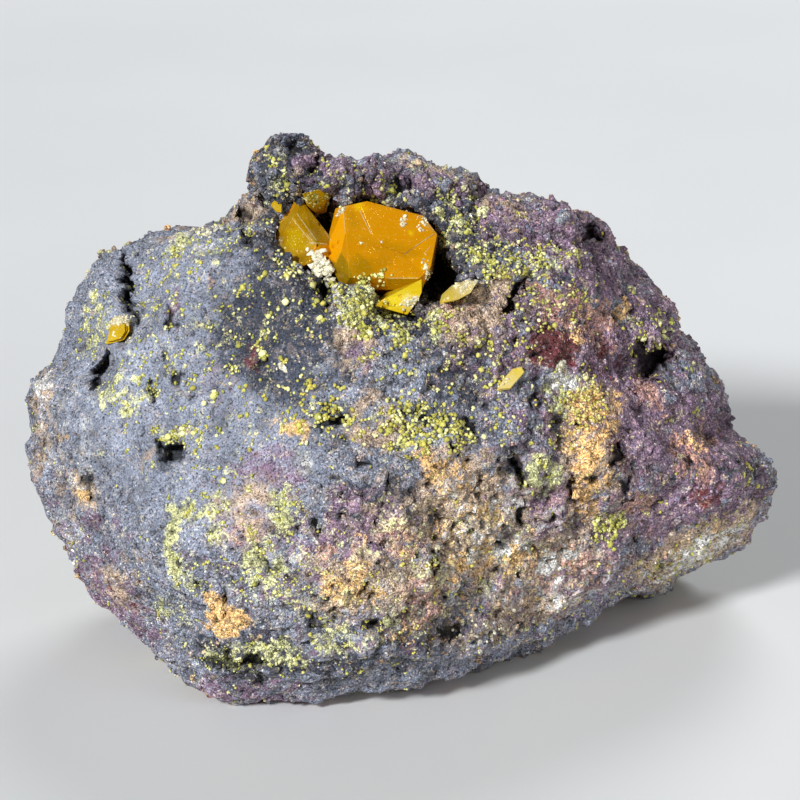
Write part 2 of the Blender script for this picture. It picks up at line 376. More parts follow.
# Tints of the large crystals, as stains of the display face.
TINTS = {
    "deep": rows(
        Stain,
        (-5.9, 14.2, 1.3, 1.6, 20, 0.45), (-3.4, 14.5, 1.3, 1.2, 0, 0.4), (-11.6, 16.2, 0.8, 1.8, 10, 0.6),
        (-10.6, 15.4, 1.4, 0.8, 0, 0.55), (-9.0, 16.2, 0.5, 0.6, 0, 0.4), (-4.6, 19.6, 0.5, 1.1, 25, 0.35),
        (-0.6, 16.6, 3.2, 0.7, -12, 0.28), (-2.2, 15.4, 1.6, 0.8, 20, 0.3),
    ),
    "glow": rows(
        Stain,
        (2.8, 14.4, 0.45, 1.4, 15, 1.0), (-10.2, 17.8, 0.8, 1.1, 10, 0.9), (-9.4, 16.8, 0.5, 0.5, 0, 0.7),
        (0.5, 12.0, 2.4, 1.5, 30, 0.8), (-3.9, 20.8, 0.5, 0.4, 0, 0.6), (1.2, 18.1, 0.25, 0.35, 0, 0.8),
        (4.4, 12.0, 1.0, 0.9, 40, 0.9), (11.6, 4.8, 0.7, 0.5, 30, 0.9), (-28.2, 8.2, 0.9, 0.6, 30, 0.8),
    ),
    "frost": rows(
        Stain,
        (-11.9, 16.2, 0.6, 2.0, 12, 0.8), (-10.9, 14.8, 1.3, 0.5, -10, 0.8), (1.4, 11.2, 0.9, 0.6, 30, 0.9),
        (3.1, 13.6, 0.25, 0.9, 15, 0.9), (-8.6, 17.6, 0.5, 0.8, 0, 0.3), (2.7, 19.3, 0.8, 0.4, -30, 0.5),
        (-5.5, 20.7, 0.4, 0.3, 0, 0.7), (6.4, 12.9, 1.3, 0.9, 20, 1.0), (9.8, 3.6, 0.9, 0.7, 40, 0.6),
        (-27.6, 9.9, 1.2, 0.5, 0, 1.0), (0.6, 11.4, 0.9, 0.5, 30, 0.9),
    ),
}
# Facets with a look of their own: the crystal, how much brighter (above 0) or darker the facet is, and its
# corners in (u, v).
Facet = namedtuple("Facet", "piece change corners")
FACETS = rows(
    Facet,
    ("left_crystal", 0.95, (
        (-11.4, 20.4), (-10.4, 21.6), (-9.9, 21.4),
        (-10.8, 20.1), (-11.7, 19.2), (-12.1, 19.0),
    )),
    ("left_crystal", -0.5, (
        (-9.8, 21.1), (-9.4, 21.6), (-6.6, 17.9),
        (-6.5, 17.25), (-8.1, 17.3), (-10.0, 20.25),
    )),
    ("left_crystal", -0.6, ((-8.0, 18.6), (-7.0, 18.5), (-6.6, 17.9), (-6.5, 17.25), (-8.1, 17.3))),
    ("left_crystal", 0.8, ((-8.7, 16.9), (-6.4, 17.1), (-6.3, 15.6), (-7.3, 15.6), (-8.7, 16.4))),
    ("main_block", 0.8, (
        (-6.5, 20.8), (-5.5, 21.1), (-5.3, 18.1), (-5.7, 16.3),
        (-6.2, 15.3), (-6.9, 16.0), (-7.1, 18.2),
    )),
    ("main_block", -0.12, ((-5.5, 21.1), (-4.4, 20.9), (-2.7, 18.1), (-5.3, 18.2))),
    ("main_block", -0.75, (
        (-6.2, 15.3), (-5.7, 16.3), (-5.1, 15.3), (-4.5, 13.7),
        (-5.1, 12.4), (-6.1, 13.3), (-7.3, 15.6),
    )),
    ("main_block", -0.4, (
        (-5.1, 15.3), (-4.1, 16.3), (-3.1, 15.3),
        (-2.4, 14.3), (-3.3, 13.9), (-4.5, 13.7),
    )),
    ("main_block", -0.18, (
        (-5.3, 18.1), (-2.7, 18.0), (-3.3, 16.9),
        (-4.1, 16.3), (-5.1, 15.3), (-5.7, 16.3),
    )),
    ("main_block", 0.3, ((0.2, 18.0), (3.7, 18.2), (3.2, 15.3), (1.9, 14.5), (0.7, 15.8))),
    ("main_block", -0.6, ((-1.3, 13.7), (2.0, 13.7), (1.3, 12.5), (-1.0, 12.5))),
    ("upper_plate", -0.12, ((0.1, 21.0), (3.6, 19.5), (3.6, 18.0), (0.6, 17.6))),
    ("wedge", -0.45, ((-2.7, 11.5), (-1.3, 11.9), (-0.6, 11.0), (-2.7, 10.8))),
)
FACET_DEPTH = 7.0  # the w that facets reach down to
# The crystals' materials: the settings that hold the colours of their body and bands, the colour of their
# glow, their share of clear light, and how cloudy their skin is.
Glass = namedtuple("Glass", "name colour bands glow clearness frost")
BLOCK_GLASS = Glass("wulfenite_orange", "orange", "amber", (1.0, 0.66, 0.0), 0.3, 0.06)
LEFT_GLASS = Glass("wulfenite_honey", "honey", "amber", (1.0, 0.74, 0.0), 0.5, 0.3)
WEDGE_GLASS = Glass("wulfenite_yellow", "yellow", "honey", (1.0, 0.82, 0.02), 0.25, 0.25)
SMALL_GLASS = Glass("wulfenite_amber", "honey", "yellow", (1.0, 0.70, 0.02), 0.4, 0.35)
BLADE_GLASS = Glass("wulfenite_blade", "blade", "pale_blade", (1.0, 0.78, 0.03), 0.2, 0.5)
# Nicks in the crystals' edges: how many, where along an edge, and their radius.
LARGE_CRYSTALS = (
    ("main_block", MAIN_BLOCK, BLOCK_GLASS, 22),
    ("left_crystal", LEFT_CRYSTAL, LEFT_GLASS, 12),
    ("wedge", WEDGE, WEDGE_GLASS, 10),
)
PLATE_NICKS, BLADE_NICKS = 3, 4
NICK_PLACES, NICK_RADII, NICK_ROUGHNESS = (0.08, 0.92), (0.10, 0.32), 0.25
PLATE_EDGE, BLADE_EDGE = 0.5, 0.6  # widths of their worn edges, as shares of the large crystals'
TINT_WANDER, TINT_EDGE = ((4.0, 23.0), (0.9, 0.5)), (1.3, 0.7)
CUT_WITHIN = 0.001 * MM
TINT_STEP = 0.4  # how finely the crystals' faces are divided for their tints
# The small crystals: how far each stands out of the rock, in how many layers, and its corners in (u, v).
Blade = namedtuple("Blade", "rise layers corners")
SMALL_CRYSTALS = {
    "wulfenite_back": Blade(
        1.9, 2,
        ((-9.4, 22.0), (-9.0, 20.9), (-8.2, 20.3), (-7.3, 20.5), (-6.8, 22.0), (-7.6, 22.5)),
    ),
    "wulfenite_left_tip": Blade(
        1.2, 2,
        ((-12.6, 21.0), (-12.2, 21.4), (-11.5, 21.0), (-11.5, 20.3), (-12.1, 20.4)),
    ),
    "wulfenite_vug_blade": Blade(
        1.1, 2,
        ((3.75, 11.2), (4.05, 12.2), (5.0, 13.1), (6.2, 13.65), (7.4, 13.4), (6.7, 12.2), (5.4, 11.5)),
    ),
    "wulfenite_crack": Blade(
        1.3, 4,
        (
            (-29.0, 7.5), (-28.2, 7.6), (-27.1, 7.9), (-26.5, 8.8),
            (-26.6, 9.8), (-27.4, 10.3), (-28.4, 10.1), (-28.6, 9.0),
        ),
    ),
    "wulfenite_lower_blade": Blade(
        0.9, 2,
        ((9.2, 2.9), (9.9, 4.0), (10.8, 5.0), (11.7, 5.2), (12.0, 4.7), (11.3, 4.0), (10.5, 3.0)),
    ),
}
BLADE_ROOT = 1.6  # how far a small crystal reaches into the rock
BLADE_LIFT = 0.6  # how much of the rock's bumps a small crystal stands above
LAYER_STEP = 0.09  # how much narrower each layer is
LAYER_SHIFT = 0.06
FLAT_WITHIN = math.radians(3.0)
# Parts of the display face that are rougher, or smoother where the strength is below 0.
RELIEF_AREAS = rows(
    Stain,
    (-20.0, 4.0, 11.0, 13.0, 10, -0.5), (-11.0, 4.0, 5.0, 9.0, 0, -0.3), (-9.0, 24.5, 6.0, 4.5, 0, 0.8),
    (0.0, 22.5, 9.0, 3.5, -5, 0.8), (11.0, 20.0, 8.0, 4.0, -20, 0.5), (8.0, 12.0, 5.0, 6.0, 0, 0.4),
    (22.0, 4.0, 11.0, 11.0, 0, 0.1), (30.0, -5.0, 8.0, 9.0, 0, -0.3), (4.0, -13.0, 16.0, 10.0, 0, 0.4),
)
AREA_EDGE = (1.6, 1.0)
# Growth lines on the crystals' faces, as (u, v) of both ends and the width.
Line = namedtuple("Line", "start end width")
GROWTH_LINES = rows(
    Line,
    ((-3.88, 20.35), (-2.75, 18.05), 0.09), ((3.30, 18.15), (0.40, 16.10), 0.07),
    ((2.90, 16.86), (2.33, 16.18), 0.06), ((-1.16, 13.76), (1.74, 13.80), 0.07),
    ((-5.50, 20.60), (-5.30, 18.10), 0.05), ((-10.50, 19.66), (-8.76, 17.52), 0.07),
    ((-10.03, 20.15), (-8.08, 17.43), 0.08), ((-7.30, 18.40), (-6.70, 17.45), 0.07),
    ((-8.76, 17.23), (-7.10, 17.13), 0.15),
)
LINE_SUNK = 0.25  # how deep a growth line lies in its face, as a share of its width
# Pale broken bits along the crystals' edges: where each group lies, its half sizes and turn, how many bits it
# has and how wide they are.
BIT_VARIETY, BIT_LIFT, BIT_ASPECTS, BIT_UNEVENNESS = 0.3, 0.1, (0.5, 1.2), 0.3
Chips = namedtuple("Chips", "u v half_u half_v turn count size")
CHIPS = rows(
    Chips,
    (2.7, 14.2, 0.25, 1.3, 15, 26, 0.34), (1.4, 11.5, 0.8, 0.7, 30, 30, 0.34),
    (0.6, 11.3, 0.9, 0.4, 30, 26, 0.26), (-5.8, 20.3, 0.3, 0.4, 0, 10, 0.3),
    (0.35, 19.6, 0.35, 0.9, 0, 20, 0.30), (-5.5, 20.5, 0.3, 0.3, 0, 7, 0.22),
    (-3.8, 17.2, 0.16, 0.1, 0, 3, 0.26), (-1.8, 17.3, 0.1, 0.1, 0, 2, 0.26),
    (2.3, 19.3, 0.7, 0.8, -20, 26, 0.26), (2.6, 15.0, 0.3, 1.0, 25, 16, 0.2),
)
BLADE_CHIPS = rows(
    Chips,
    (-27.5, 9.9, 1.1, 0.55, 0, 70, 0.34), (-27.8, 8.6, 0.9, 1.0, 0, 12, 0.22),
    (6.3, 13.0, 1.4, 0.7, 20, 90, 0.24), (4.6, 12.0, 0.8, 0.5, 50, 8, 0.2),
    (10.0, 3.7, 0.5, 0.3, 40, 12, 0.22),
)
# The cream crust between the two large crystals: the (u, v, w) of its lumps, how wide each is, and how light.
CREAM_LUMPS = (
    (-8.5, 16.3, 10.2, 1.0, 1.0), (-7.8, 16.4, 10.3, 0.9, 0.9), (-8.2, 15.6, 10.2, 1.5, 1.0),
    (-7.5, 15.5, 10.3, 1.3, 1.0), (-7.7, 14.8, 10.0, 1.5, 0.9), (-7.0, 14.5, 10.2, 1.2, 0.8),
    (-6.8, 13.8, 9.8, 0.8, 0.3), (-6.4, 13.2, 9.7, 0.8, 0.0), (-6.1, 12.5, 9.6, 0.9, -0.2),
    (-5.8, 11.8, 9.6, 0.8, -0.2),
)
GRAINS_PER_LUMP = 5
LUMP_SPREAD = 0.26
LUMP_FLATNESS = (1.0, 0.5, 1.0)
LUMP_ASPECTS = (0.35, 1.1)
# Mimetite grown over the edges of the crystals, as groups of balls.
OVERGROWN = ("main_block", "left_crystal", "wulfenite_back_crystal", "wulfenite_left_tip_crystal")
OVERGROWTH = rows(
    Chips,
    (-8.4, 21.6, 1.1, 1.0, 0, 46, 0.36), (-6.6, 21.6, 0.7, 0.8, 0, 16, 0.36),
    (-1.9, 14.0, 0.7, 0.8, 0, 26, 0.42), (-3.3, 13.3, 1.0, 0.6, 0, 22, 0.42),
    (-10.6, 14.6, 1.2, 0.5, -20, 16, 0.36), (-11.8, 15.6, 0.6, 1.5, 8, 26, 0.30),
)
OVERGROWTH_WARMTH = 0.15
# Pale druse on the cream crust and elsewhere on the rock.
DRUSE = rows(
    Chips,
    (-7.9, 15.5, 0.7, 1.2, 42, 30, 0.34), (-7.0, 14.2, 0.6, 1.1, 42, 16, 0.34),
    (-6.1, 12.5, 0.6, 1.3, 30, 20, 0.34), (-5.4, 10.6, 0.5, 1.4, 10, 40, 0.24),
    (-8.9, 21.6, 0.6, 0.7, 0, 26, 0.34), (15.6, 5.4, 0.6, 0.5, 0, 26, 0.40),
    (9.0, -21.0, 5.0, 1.6, 15, 60, 0.36), (-19.0, 18.3, 1.6, 0.6, 25, 30, 0.36),
    (-11.2, 5.0, 0.5, 0.3, 0, 8, 0.45), (30.0, -14.8, 4.5, 1.0, 30, 50, 0.36),
    (3.4, -12.0, 3.0, 2.0, 0, 24, 0.30),
)


def colour(name, description, default):
    return FloatVectorProperty(
        name=name, description=description, default=default, subtype="COLOR", min=0.0, max=1.0
    )


def length(name, description, millimetres):
    return FloatProperty(
        name=name, description=description, default=millimetres * MM, unit="LENGTH", precision=5
    )


def number(name, description, default):
    return FloatProperty(name=name, description=description, default=default)


def seed(description, default):
    return IntProperty(name="Seed", description=description, default=default, min=1)


class RockSettings(bpy.types.PropertyGroup):
    """Sizes and colours of the gossan."""

    spacing: length(
        "Surface Spacing",
        "Distance between the points of the rock's surface; half of it on the display face",
        0.66,
    )
    crag_height: length("Crag Height", "Height of the broad crags", 0.62)
    knob_height: length("Knob Height", "Height of the rounded knobs", 0.22)
    grit_height: length("Grit Height", "Height of the finest grit that has a shape of its own", 0.13)
    slate: colour("Slate", "Blue-grey of the smooth side", (0.248, 0.270, 0.342))
    dark_slate: colour("Dark Slate", "Near-black slate round the vug", (0.048, 0.056, 0.082))
    mauve: colour("Mauve", "Purple-brown haematite", (0.262, 0.170, 0.252))
    rose: colour("Rose", "Pink clay", (0.500, 0.265, 0.230))
    tan: colour("Tan", "Earthy limonite", (0.530, 0.385, 0.280))
    rust: colour("Rust", "Orange ochre", (0.780, 0.470, 0.190))
    red: colour("Red", "Dark red haematite", (0.190, 0.045, 0.052))
    lime: colour("Lime", "Powdery mimetite coat", (0.640, 0.630, 0.310))
    cream: colour("Cream", "Pale carbonate bits", (0.860, 0.830, 0.790))
    seed: seed("Changes how the relief bends", 4)


class GrainSettings(bpy.types.PropertyGroup):
    """Grains and knobs that stand on the rock."""

    front_density: number("Front Density", "Grains on a square millimetre of the display face", 1.2)
    back_density: number("Back Density", "Grains on a square millimetre elsewhere", 0.38)
    size: length("Grain Size", "Usual size of a grain", 0.23)
    knob_size: length("Knob Size", "Usual size of a knob", 0.74)
    seed: seed("Changes where the grains and knobs lie", 11)


class WulfeniteSettings(bpy.types.PropertyGroup):
    """Optics and edges of the wulfenite."""

    orange: colour("Orange", "Body colour of the main block", (0.76, 0.265, 0.0))
    amber: colour("Amber", "Paler parts of the main block", (0.68, 0.32, 0.0))
    yellow: colour("Yellow", "The bright wedge and the small crystals", (1.0, 0.66, 0.01))
    honey: colour("Honey", "The clearer crystal on the left", (0.68, 0.385, 0.0))
    blade: colour("Blade", "The pale blades on the rock", (0.98, 0.68, 0.08))
    pale_blade: colour("Pale Blade", "Paler parts of the blades", (0.95, 0.82, 0.34))
    fracture: colour("Fracture", "The growth lines", (0.93, 0.80, 0.42))
    chips: colour("Chips", "Broken bits along the edges", (0.95, 0.86, 0.58))
    refraction: number("Refractive Index", "How strongly light bends", 2.3)
    edge: length("Edge Width", "Width of the worn edges", 0.05)
    seed: seed("Changes the nicks and chips", 5)


class DruseSettings(bpy.types.PropertyGroup):
    """The cream druse."""

    cream: colour("Cream", "Colour of the crust and its grains", (0.88, 0.82, 0.62))
    seed: seed("Changes where the grains lie", 21)


class MimetiteSettings(bpy.types.PropertyGroup):
    """Colours of the mimetite balls."""

    lime: colour("Lime", "The greenest balls", (0.60, 0.585, 0.12))
    yellow: colour("Yellow", "The warmest balls", (0.88, 0.73, 0.13))
    pale: colour("Pale", "The palest balls", (0.90, 0.87, 0.46))
    seed: seed("Changes where the balls lie", 3)


class StageSettings(bpy.types.PropertyGroup):
    """Floor, light and camera."""

    floor: colour("Floor", "Colour of the floor", (0.72, 0.72, 0.72))
    light: colour("Light", "Colour of the lights", (0.95, 0.98, 1.0))
    key_power: number("Key Light", "Watts on a square metre, from the upper left", 3.7)
    fill_power: number("Fill Light", "Watts on a square metre, from the right", 0.7)
    back_power: number("Back Light", "Watts on a square metre, from behind", 1.1)
    air: number("Surround", "Strength of the even light all round", 0.15)
    sky: number("Backdrop", "Brightness of the pale backdrop", 0.62)
    distance: length("Camera Distance", "From the camera to the display face", 340.0)
    lens: FloatProperty(
        name="Focal Length", description="On a 36 mm sensor", default=153.0, unit="CAMERA"
    )


class SpecimenSettings(bpy.types.PropertyGroup):
    """Everything that can be set on the specimen."""

    rock: PointerProperty(type=RockSettings)
    grains: PointerProperty(type=GrainSettings)
    wulfenite: PointerProperty(type=WulfeniteSettings)
    druse: PointerProperty(type=DruseSettings)
    mimetite: PointerProperty(type=MimetiteSettings)
    stage: PointerProperty(type=StageSettings)


def smooth(t):
    t = np.clip(t, 0.0, 1.0)
    return t * t * (3.0 - 2.0 * t)


def face_points(points):
    """World points in metres as an array of (u, v, w)."""
    turn = np.array(FACE.inverted())
    return np.asarray(points) @ turn[:3, :3].T + turn[:3, 3]


def place(u, v, w):
    return FACE @ Vector((u, v, w))


def patch_distance(patch, u, v):
    """How far points are from a patch's centre, as an array: 1 is on its edge."""
    turn = math.radians(patch.turn)
    du, dv = u - patch.u, v - patch.v
    along = du * math.cos(turn) + dv * math.sin(turn)
    across = dv * math.cos(turn) - du * math.sin(turn)
    return np.hypot(along / patch.half_u, across / patch.half_v)


def soft_patch(patch, u, v, reach, edge):
    """1 inside a patch and 0 outside. Its soft edge ends at this reach and is this wide, in half sizes."""
    return smooth((reach - patch_distance(patch, u, v)) / edge)


def noise_at(points, size, start=0.0):
    """Smooth noise about 0 at each (u, v, w), with features of this size."""
    offset = Vector((start, 2.0 * start, -start))
    return np.array([noise.noise(Vector(point) / size + offset) for point in points])


def bent_places(uvw, starts, *waves):
    """The u and the v of points, moved by noise with a start for each. Each wave has a size and a height."""
    return [
        uvw[:, axis] + sum(height * noise_at(uvw, size, start) for size, height in waves)
        for axis, start in enumerate(starts)
    ]


def patchy(uvw, size, start, middle, height, low, high):
    """A field of noise with these features, kept between two values."""
    return np.clip(middle + height * noise_at(uvw, size, start), low, high)


def merged_copy(node):
    """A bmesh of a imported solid, with the corners of its triangles joined."""
    bm = bmesh.new()
    bm.from_mesh(frame["nodes"][node].data)
    bmesh.ops.remove_doubles(bm, verts=bm.verts, dist=0.001 * MM)
    return bm


def new_mesh(name, bm, smooth_shaded=False):
    mesh = bpy.data.meshes.new(name)
    bm.to_mesh(mesh)
    bm.free()
    if smooth_shaded:
        mesh.shade_smooth()
    return mesh


def show(name, mesh, material, slot, *replaced):
    """Puts a finished piece in the scene, on the specimen's one body."""
    obj = bpy.data.objects.new(name, mesh)
    bpy.context.scene.collection.objects.link(obj)
    mesh.materials.append(material)
    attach(obj, "root")
    if replaced:
        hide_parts(*replaced)
    return obj


def set_attribute(mesh, name, values):
    mesh.attributes.new(name, "FLOAT", "POINT").data.foreach_set("value", np.asarray(values, np.float32))


def evaluated(obj):
    """A bmesh of an object after its modifiers. The object is removed."""
    bpy.context.view_layer.update()
    bm = bmesh.new()
    bm.from_object(obj, bpy.context.evaluated_depsgraph_get())
    bpy.data.objects.remove(obj)
    return bm


# Materials. A range is where a soft step starts and ends, and then its two values. A shade is a factor and an
# offset.

FINE_GRIT, COARSE_GRIT, BALL_GRIT = 5200.0, 1900.0, 9000.0
DUST_SCALE, DUST_SHARE, GRAIN_SHARE = 2.3, 0.35, (0.75, -0.05)
GAP_RANGE = (0.42, 0.78)
PORE_RANGE = (0.30, 0.41, 1.0, 0.0)
TONE_HEIGHT = 0.6
GRIT_TONES = (0.1, 0.9)  # the darkest and the lightest grit

FINE_BREAK, COARSE_BREAK = 0.38, 0.46  # how much grains of each size break up a stain's edge
STAIN_RANGE = (0.12, 0.78)
BRIGHT_GRAINS = (0.94, 0.97, 0.0, 0.5)
EARTHY_GRAINS = (0.90, 0.95, 0.0, 0.16)
CALM_DULLNESS, CALM_EVENNESS = 0.7, 0.5
FINE_SHADE = (0.05, 0.95, -0.56, 0.58)
COARSE_SHADE = (0.1, 0.9, -0.24, 0.24)
ROCK_LIGHTNESS = 1.34
PORE_SHADE, GAP_SHADE, CLEFT_SHADE = (-0.7, 1.0), (-0.38, 1.0), (-0.86, 1.0)
PATCH_SHADE = (0.9, 0.55)
ROCK_ROUGHNESS = (-0.3, 0.88)
COARSE_HEIGHT, PORE_DEPTH, ROCK_BUMP = 1.6, 1.2, 0.16 * MM

PALE_BALLS = (0.55, 0.95, 0.0, 0.85)
BALL_FOOT_SHADE, BALL_SHADE = (0.7, 0.45), (0.6, 0.62)
BALL_GRIT_SHADE, BALL_ROUGHNESS = (0.82, 1.15), (0.45, 0.75)
BALL_BUMP = 0.018 * MM
BIT_SHADE, BIT_GRIT_SHADE, BIT_BUMP = (0.55, 0.6), (0.75, 1.1), 0.04 * MM
FRACTURE_ROUGHNESS, CHIP_ROUGHNESS, DRUSE_ROUGHNESS, FLOOR_ROUGHNESS = 0.4, 0.35, 0.6, 0.6

GROWTH_SCALE, FLECK_SCALE = 420.0, 12.0
BAND_TURN = (math.radians(35.0), math.radians(18.0), 0.0)
BAND_STRETCH = (0.6, 0.6, 7.0)
VEIL_RANGE, FLECK_RANGE = (0.42, 0.68), (0.58, 0.72)
CLOUD, SHADOW_CLOUD, FROST_FLECKS = (0.7, 0.4), (-0.6, 1.3), (0.65, 0.35)
BRIGHT_FACET, DARK_FACET = (1.0, 0.42, 0.0), (0.36, 0.22, 0.0)
SHADOW, VEIL, FLECK = (0.26, 0.15, 0.0), (0.90, 0.58, 0.04), (0.95, 0.85, 0.50)
CRYSTAL_ROUGHNESS, VEIL_ROUGHNESS, FLECK_ROUGHNESS = 0.17, 0.35, 0.40
SHINE, SHINE_TINT = 0.12, (1.0, 0.62, 0.14)
INNER_COLOUR, INNER_DENSITY = (1.0, 0.50, 0.05), 260.0
FLECK_HEIGHT, CRYSTAL_BUMP = 0.3, 0.05 * MM


def new_group(name, inputs, outputs):
    """An empty shader group with float inputs and outputs, and its input and output nodes."""
    group = bpy.data.node_groups.new(name, "ShaderNodeTree")
    for label, default in inputs.items():
        socket = group.interface.new_socket(label, in_out="INPUT", socket_type="NodeSocketFloat")
        socket.default_value = default
    for label in outputs:
        group.interface.new_socket(label, in_out="OUTPUT", socket_type="NodeSocketFloat")
    return group, group.nodes.new("NodeGroupInput"), group.nodes.new("NodeGroupOutput")


def fill_group(group, made, results):
    """Links each result to the group's output of that name."""
    for label, socket in results.items():
        group.links.new(socket, made.inputs[label])
    return group


def math_node(tree, operation, first, second, third=None):
    """A Math node. Each operand is a number or a socket."""
    node = tree.nodes.new("ShaderNodeMath")
    node.operation = operation
    for socket, value in zip(node.inputs, (first, second, third)):
        if isinstance(value, bpy.types.NodeSocket):
            tree.links.new(value, socket)
        elif value is not None:
            socket.default_value = value
    return node.outputs[0]


def scaled(tree, value, factor, offset):
    """The value times the factor, plus the offset."""
    return math_node(tree, "MULTIPLY_ADD", value, factor, offset)


def product(tree, first, second):
    return math_node(tree, "MULTIPLY", first, second)


def mix_node(tree, factor, first, second, blend="MIX"):
    """A colour Mix node. The factor and both colours are values or sockets."""
    node = tree.nodes.new("ShaderNodeMix")
    node.data_type = "RGBA"
    node.blend_type = blend
    for label, value in (("Factor", factor), ("A", first), ("B", second)):
        socket = node.inputs[label]
        if isinstance(value, bpy.types.NodeSocket):
            tree.links.new(value, socket)
        elif isinstance(value, float):
            socket.default_value = value
        else:
            socket.default_value = (*value, 1.0)
    return node.outputs["Result"]


def shaded(tree, colour, shade):
    """A colour times a value."""
    return mix_node(tree, 1.0, colour, shade, "MULTIPLY")


def threshold(tree, value, low, high, out_low=0.0, out_high=1.0):
    """A value taken softly from one range to another."""
    node = tree.nodes.new("ShaderNodeMapRange")
    node.interpolation_type = "SMOOTHSTEP"
    tree.links.new(value, node.inputs["Value"])
    limits = {"From Min": low, "From Max": high, "To Min": out_low, "To Max": out_high}
    for label, limit in limits.items():
        node.inputs[label].default_value = limit
    return node.outputs["Result"]


def attribute_of(tree, name):
    node = tree.nodes.new("ShaderNodeAttribute")
    node.attribute_name = name
    return node.outputs["Fac"]


def use_group(tree, group, scale):
    """A group's node in a material."""
    node = tree.nodes.new("ShaderNodeGroup")
    node.node_tree = group
    node.inputs["Scale"].default_value = scale
    return node.outputs


def texture(tree, kind, scale, coords, **inputs):
    """A Noise or Voronoi node on the given coordinates. The scale is a number or a socket."""
    node = tree.nodes.new("ShaderNodeTex" + kind)
    tree.links.new(coords, node.inputs["Vector"])
    if isinstance(scale, bpy.types.NodeSocket):
        tree.links.new(scale, node.inputs["Scale"])
    else:
        node.inputs["Scale"].default_value = scale
    for label, value in inputs.items():
        node.inputs[label].default_value = value
    return node.outputs


def object_coordinates(tree):
    return tree.nodes.new("ShaderNodeTexCoord").outputs["Object"]


def grit_group():
    """Mineral grit: packed grains, each with a tone of its own, and the gaps between them."""
    if "grit" in bpy.data.node_groups:
        return bpy.data.node_groups["grit"]
    group, given, made = new_group("grit", {"Scale": FINE_GRIT}, ("Tone", "Odd", "Gap", "Pore", "Height"))
    coords = object_coordinates(group)
    cells = texture(group, "Voronoi", given.outputs["Scale"], coords, Randomness=1.0)
    finer = product(group, given.outputs["Scale"], DUST_SCALE)
    dust = texture(group, "Noise", finer, coords, Detail=2.0)["Fac"]
    split = group.nodes.new("ShaderNodeSeparateColor")
    group.links.new(cells["Color"], split.inputs["Color"])
    tone = scaled(group, dust, DUST_SHARE, scaled(group, split.outputs[0], *GRAIN_SHARE))
    dome = math_node(group, "SUBTRACT", 1.0, cells["Distance"])
    results = {
        "Tone": tone,
        "Odd": split.outputs[1],
        "Gap": threshold(group, cells["Distance"], *GAP_RANGE),
        "Pore": threshold(group, dust, *PORE_RANGE),
        "Height": scaled(group, tone, TONE_HEIGHT, dome),
    }
    return fill_group(group, made, results)


def growth_group():
    """What shows that a crystal grew: thin bands, cloudy veils and small flecks."""
    if "crystal_growth" in bpy.data.node_groups:
        return bpy.data.node_groups["crystal_growth"]
    group, given, made = new_group("crystal_growth", {"Scale": GROWTH_SCALE}, ("Bands", "Veil", "Fleck"))
    coords = object_coordinates(group)
    stretch = group.nodes.new("ShaderNodeMapping")
    stretch.inputs["Rotation"].default_value = BAND_TURN
    stretch.inputs["Scale"].default_value = BAND_STRETCH
    group.links.new(coords, stretch.inputs["Vector"])
    bands = texture(group, "Noise", given.outputs["Scale"], stretch.outputs["Vector"], Detail=3.0)
    veil = texture(group, "Noise", given.outputs["Scale"], coords, Detail=4.0)
    finer = product(group, given.outputs["Scale"], FLECK_SCALE)
    fleck = texture(group, "Noise", finer, coords, Detail=2.0)
    results = {
        "Bands": bands["Fac"],
        "Veil": threshold(group, veil["Fac"], *VEIL_RANGE),
        "Fleck": threshold(group, fleck["Fac"], *FLECK_RANGE),
    }
    return fill_group(group, made, results)


def new_material(name, colour, roughness):
    """A material with its node tree and its shader."""
    material = bpy.data.materials.new(name)
    material.use_nodes = True
    material.diffuse_color = (*colour, 1.0)
    shader = material.node_tree.nodes["Principled BSDF"]
    shader.inputs["Base Color"].default_value = (*colour, 1.0)
    shader.inputs["Roughness"].default_value = roughness
    return material, material.node_tree, shader


def feed(tree, shader, **sockets):
    """Links each value to the shader's input of that name."""
    for label, socket in sockets.items():
        tree.links.new(socket, shader.inputs[label.replace("_", " ")])


def add_bump(tree, shader, height, depth):
    """Relief of this depth in metres that only catches the light."""
    bump = tree.nodes.new("ShaderNodeBump")
    bump.inputs["Distance"].default_value = depth
    tree.links.new(height, bump.inputs["Height"])
    tree.links.new(bump.outputs["Normal"], shader.inputs["Normal"])


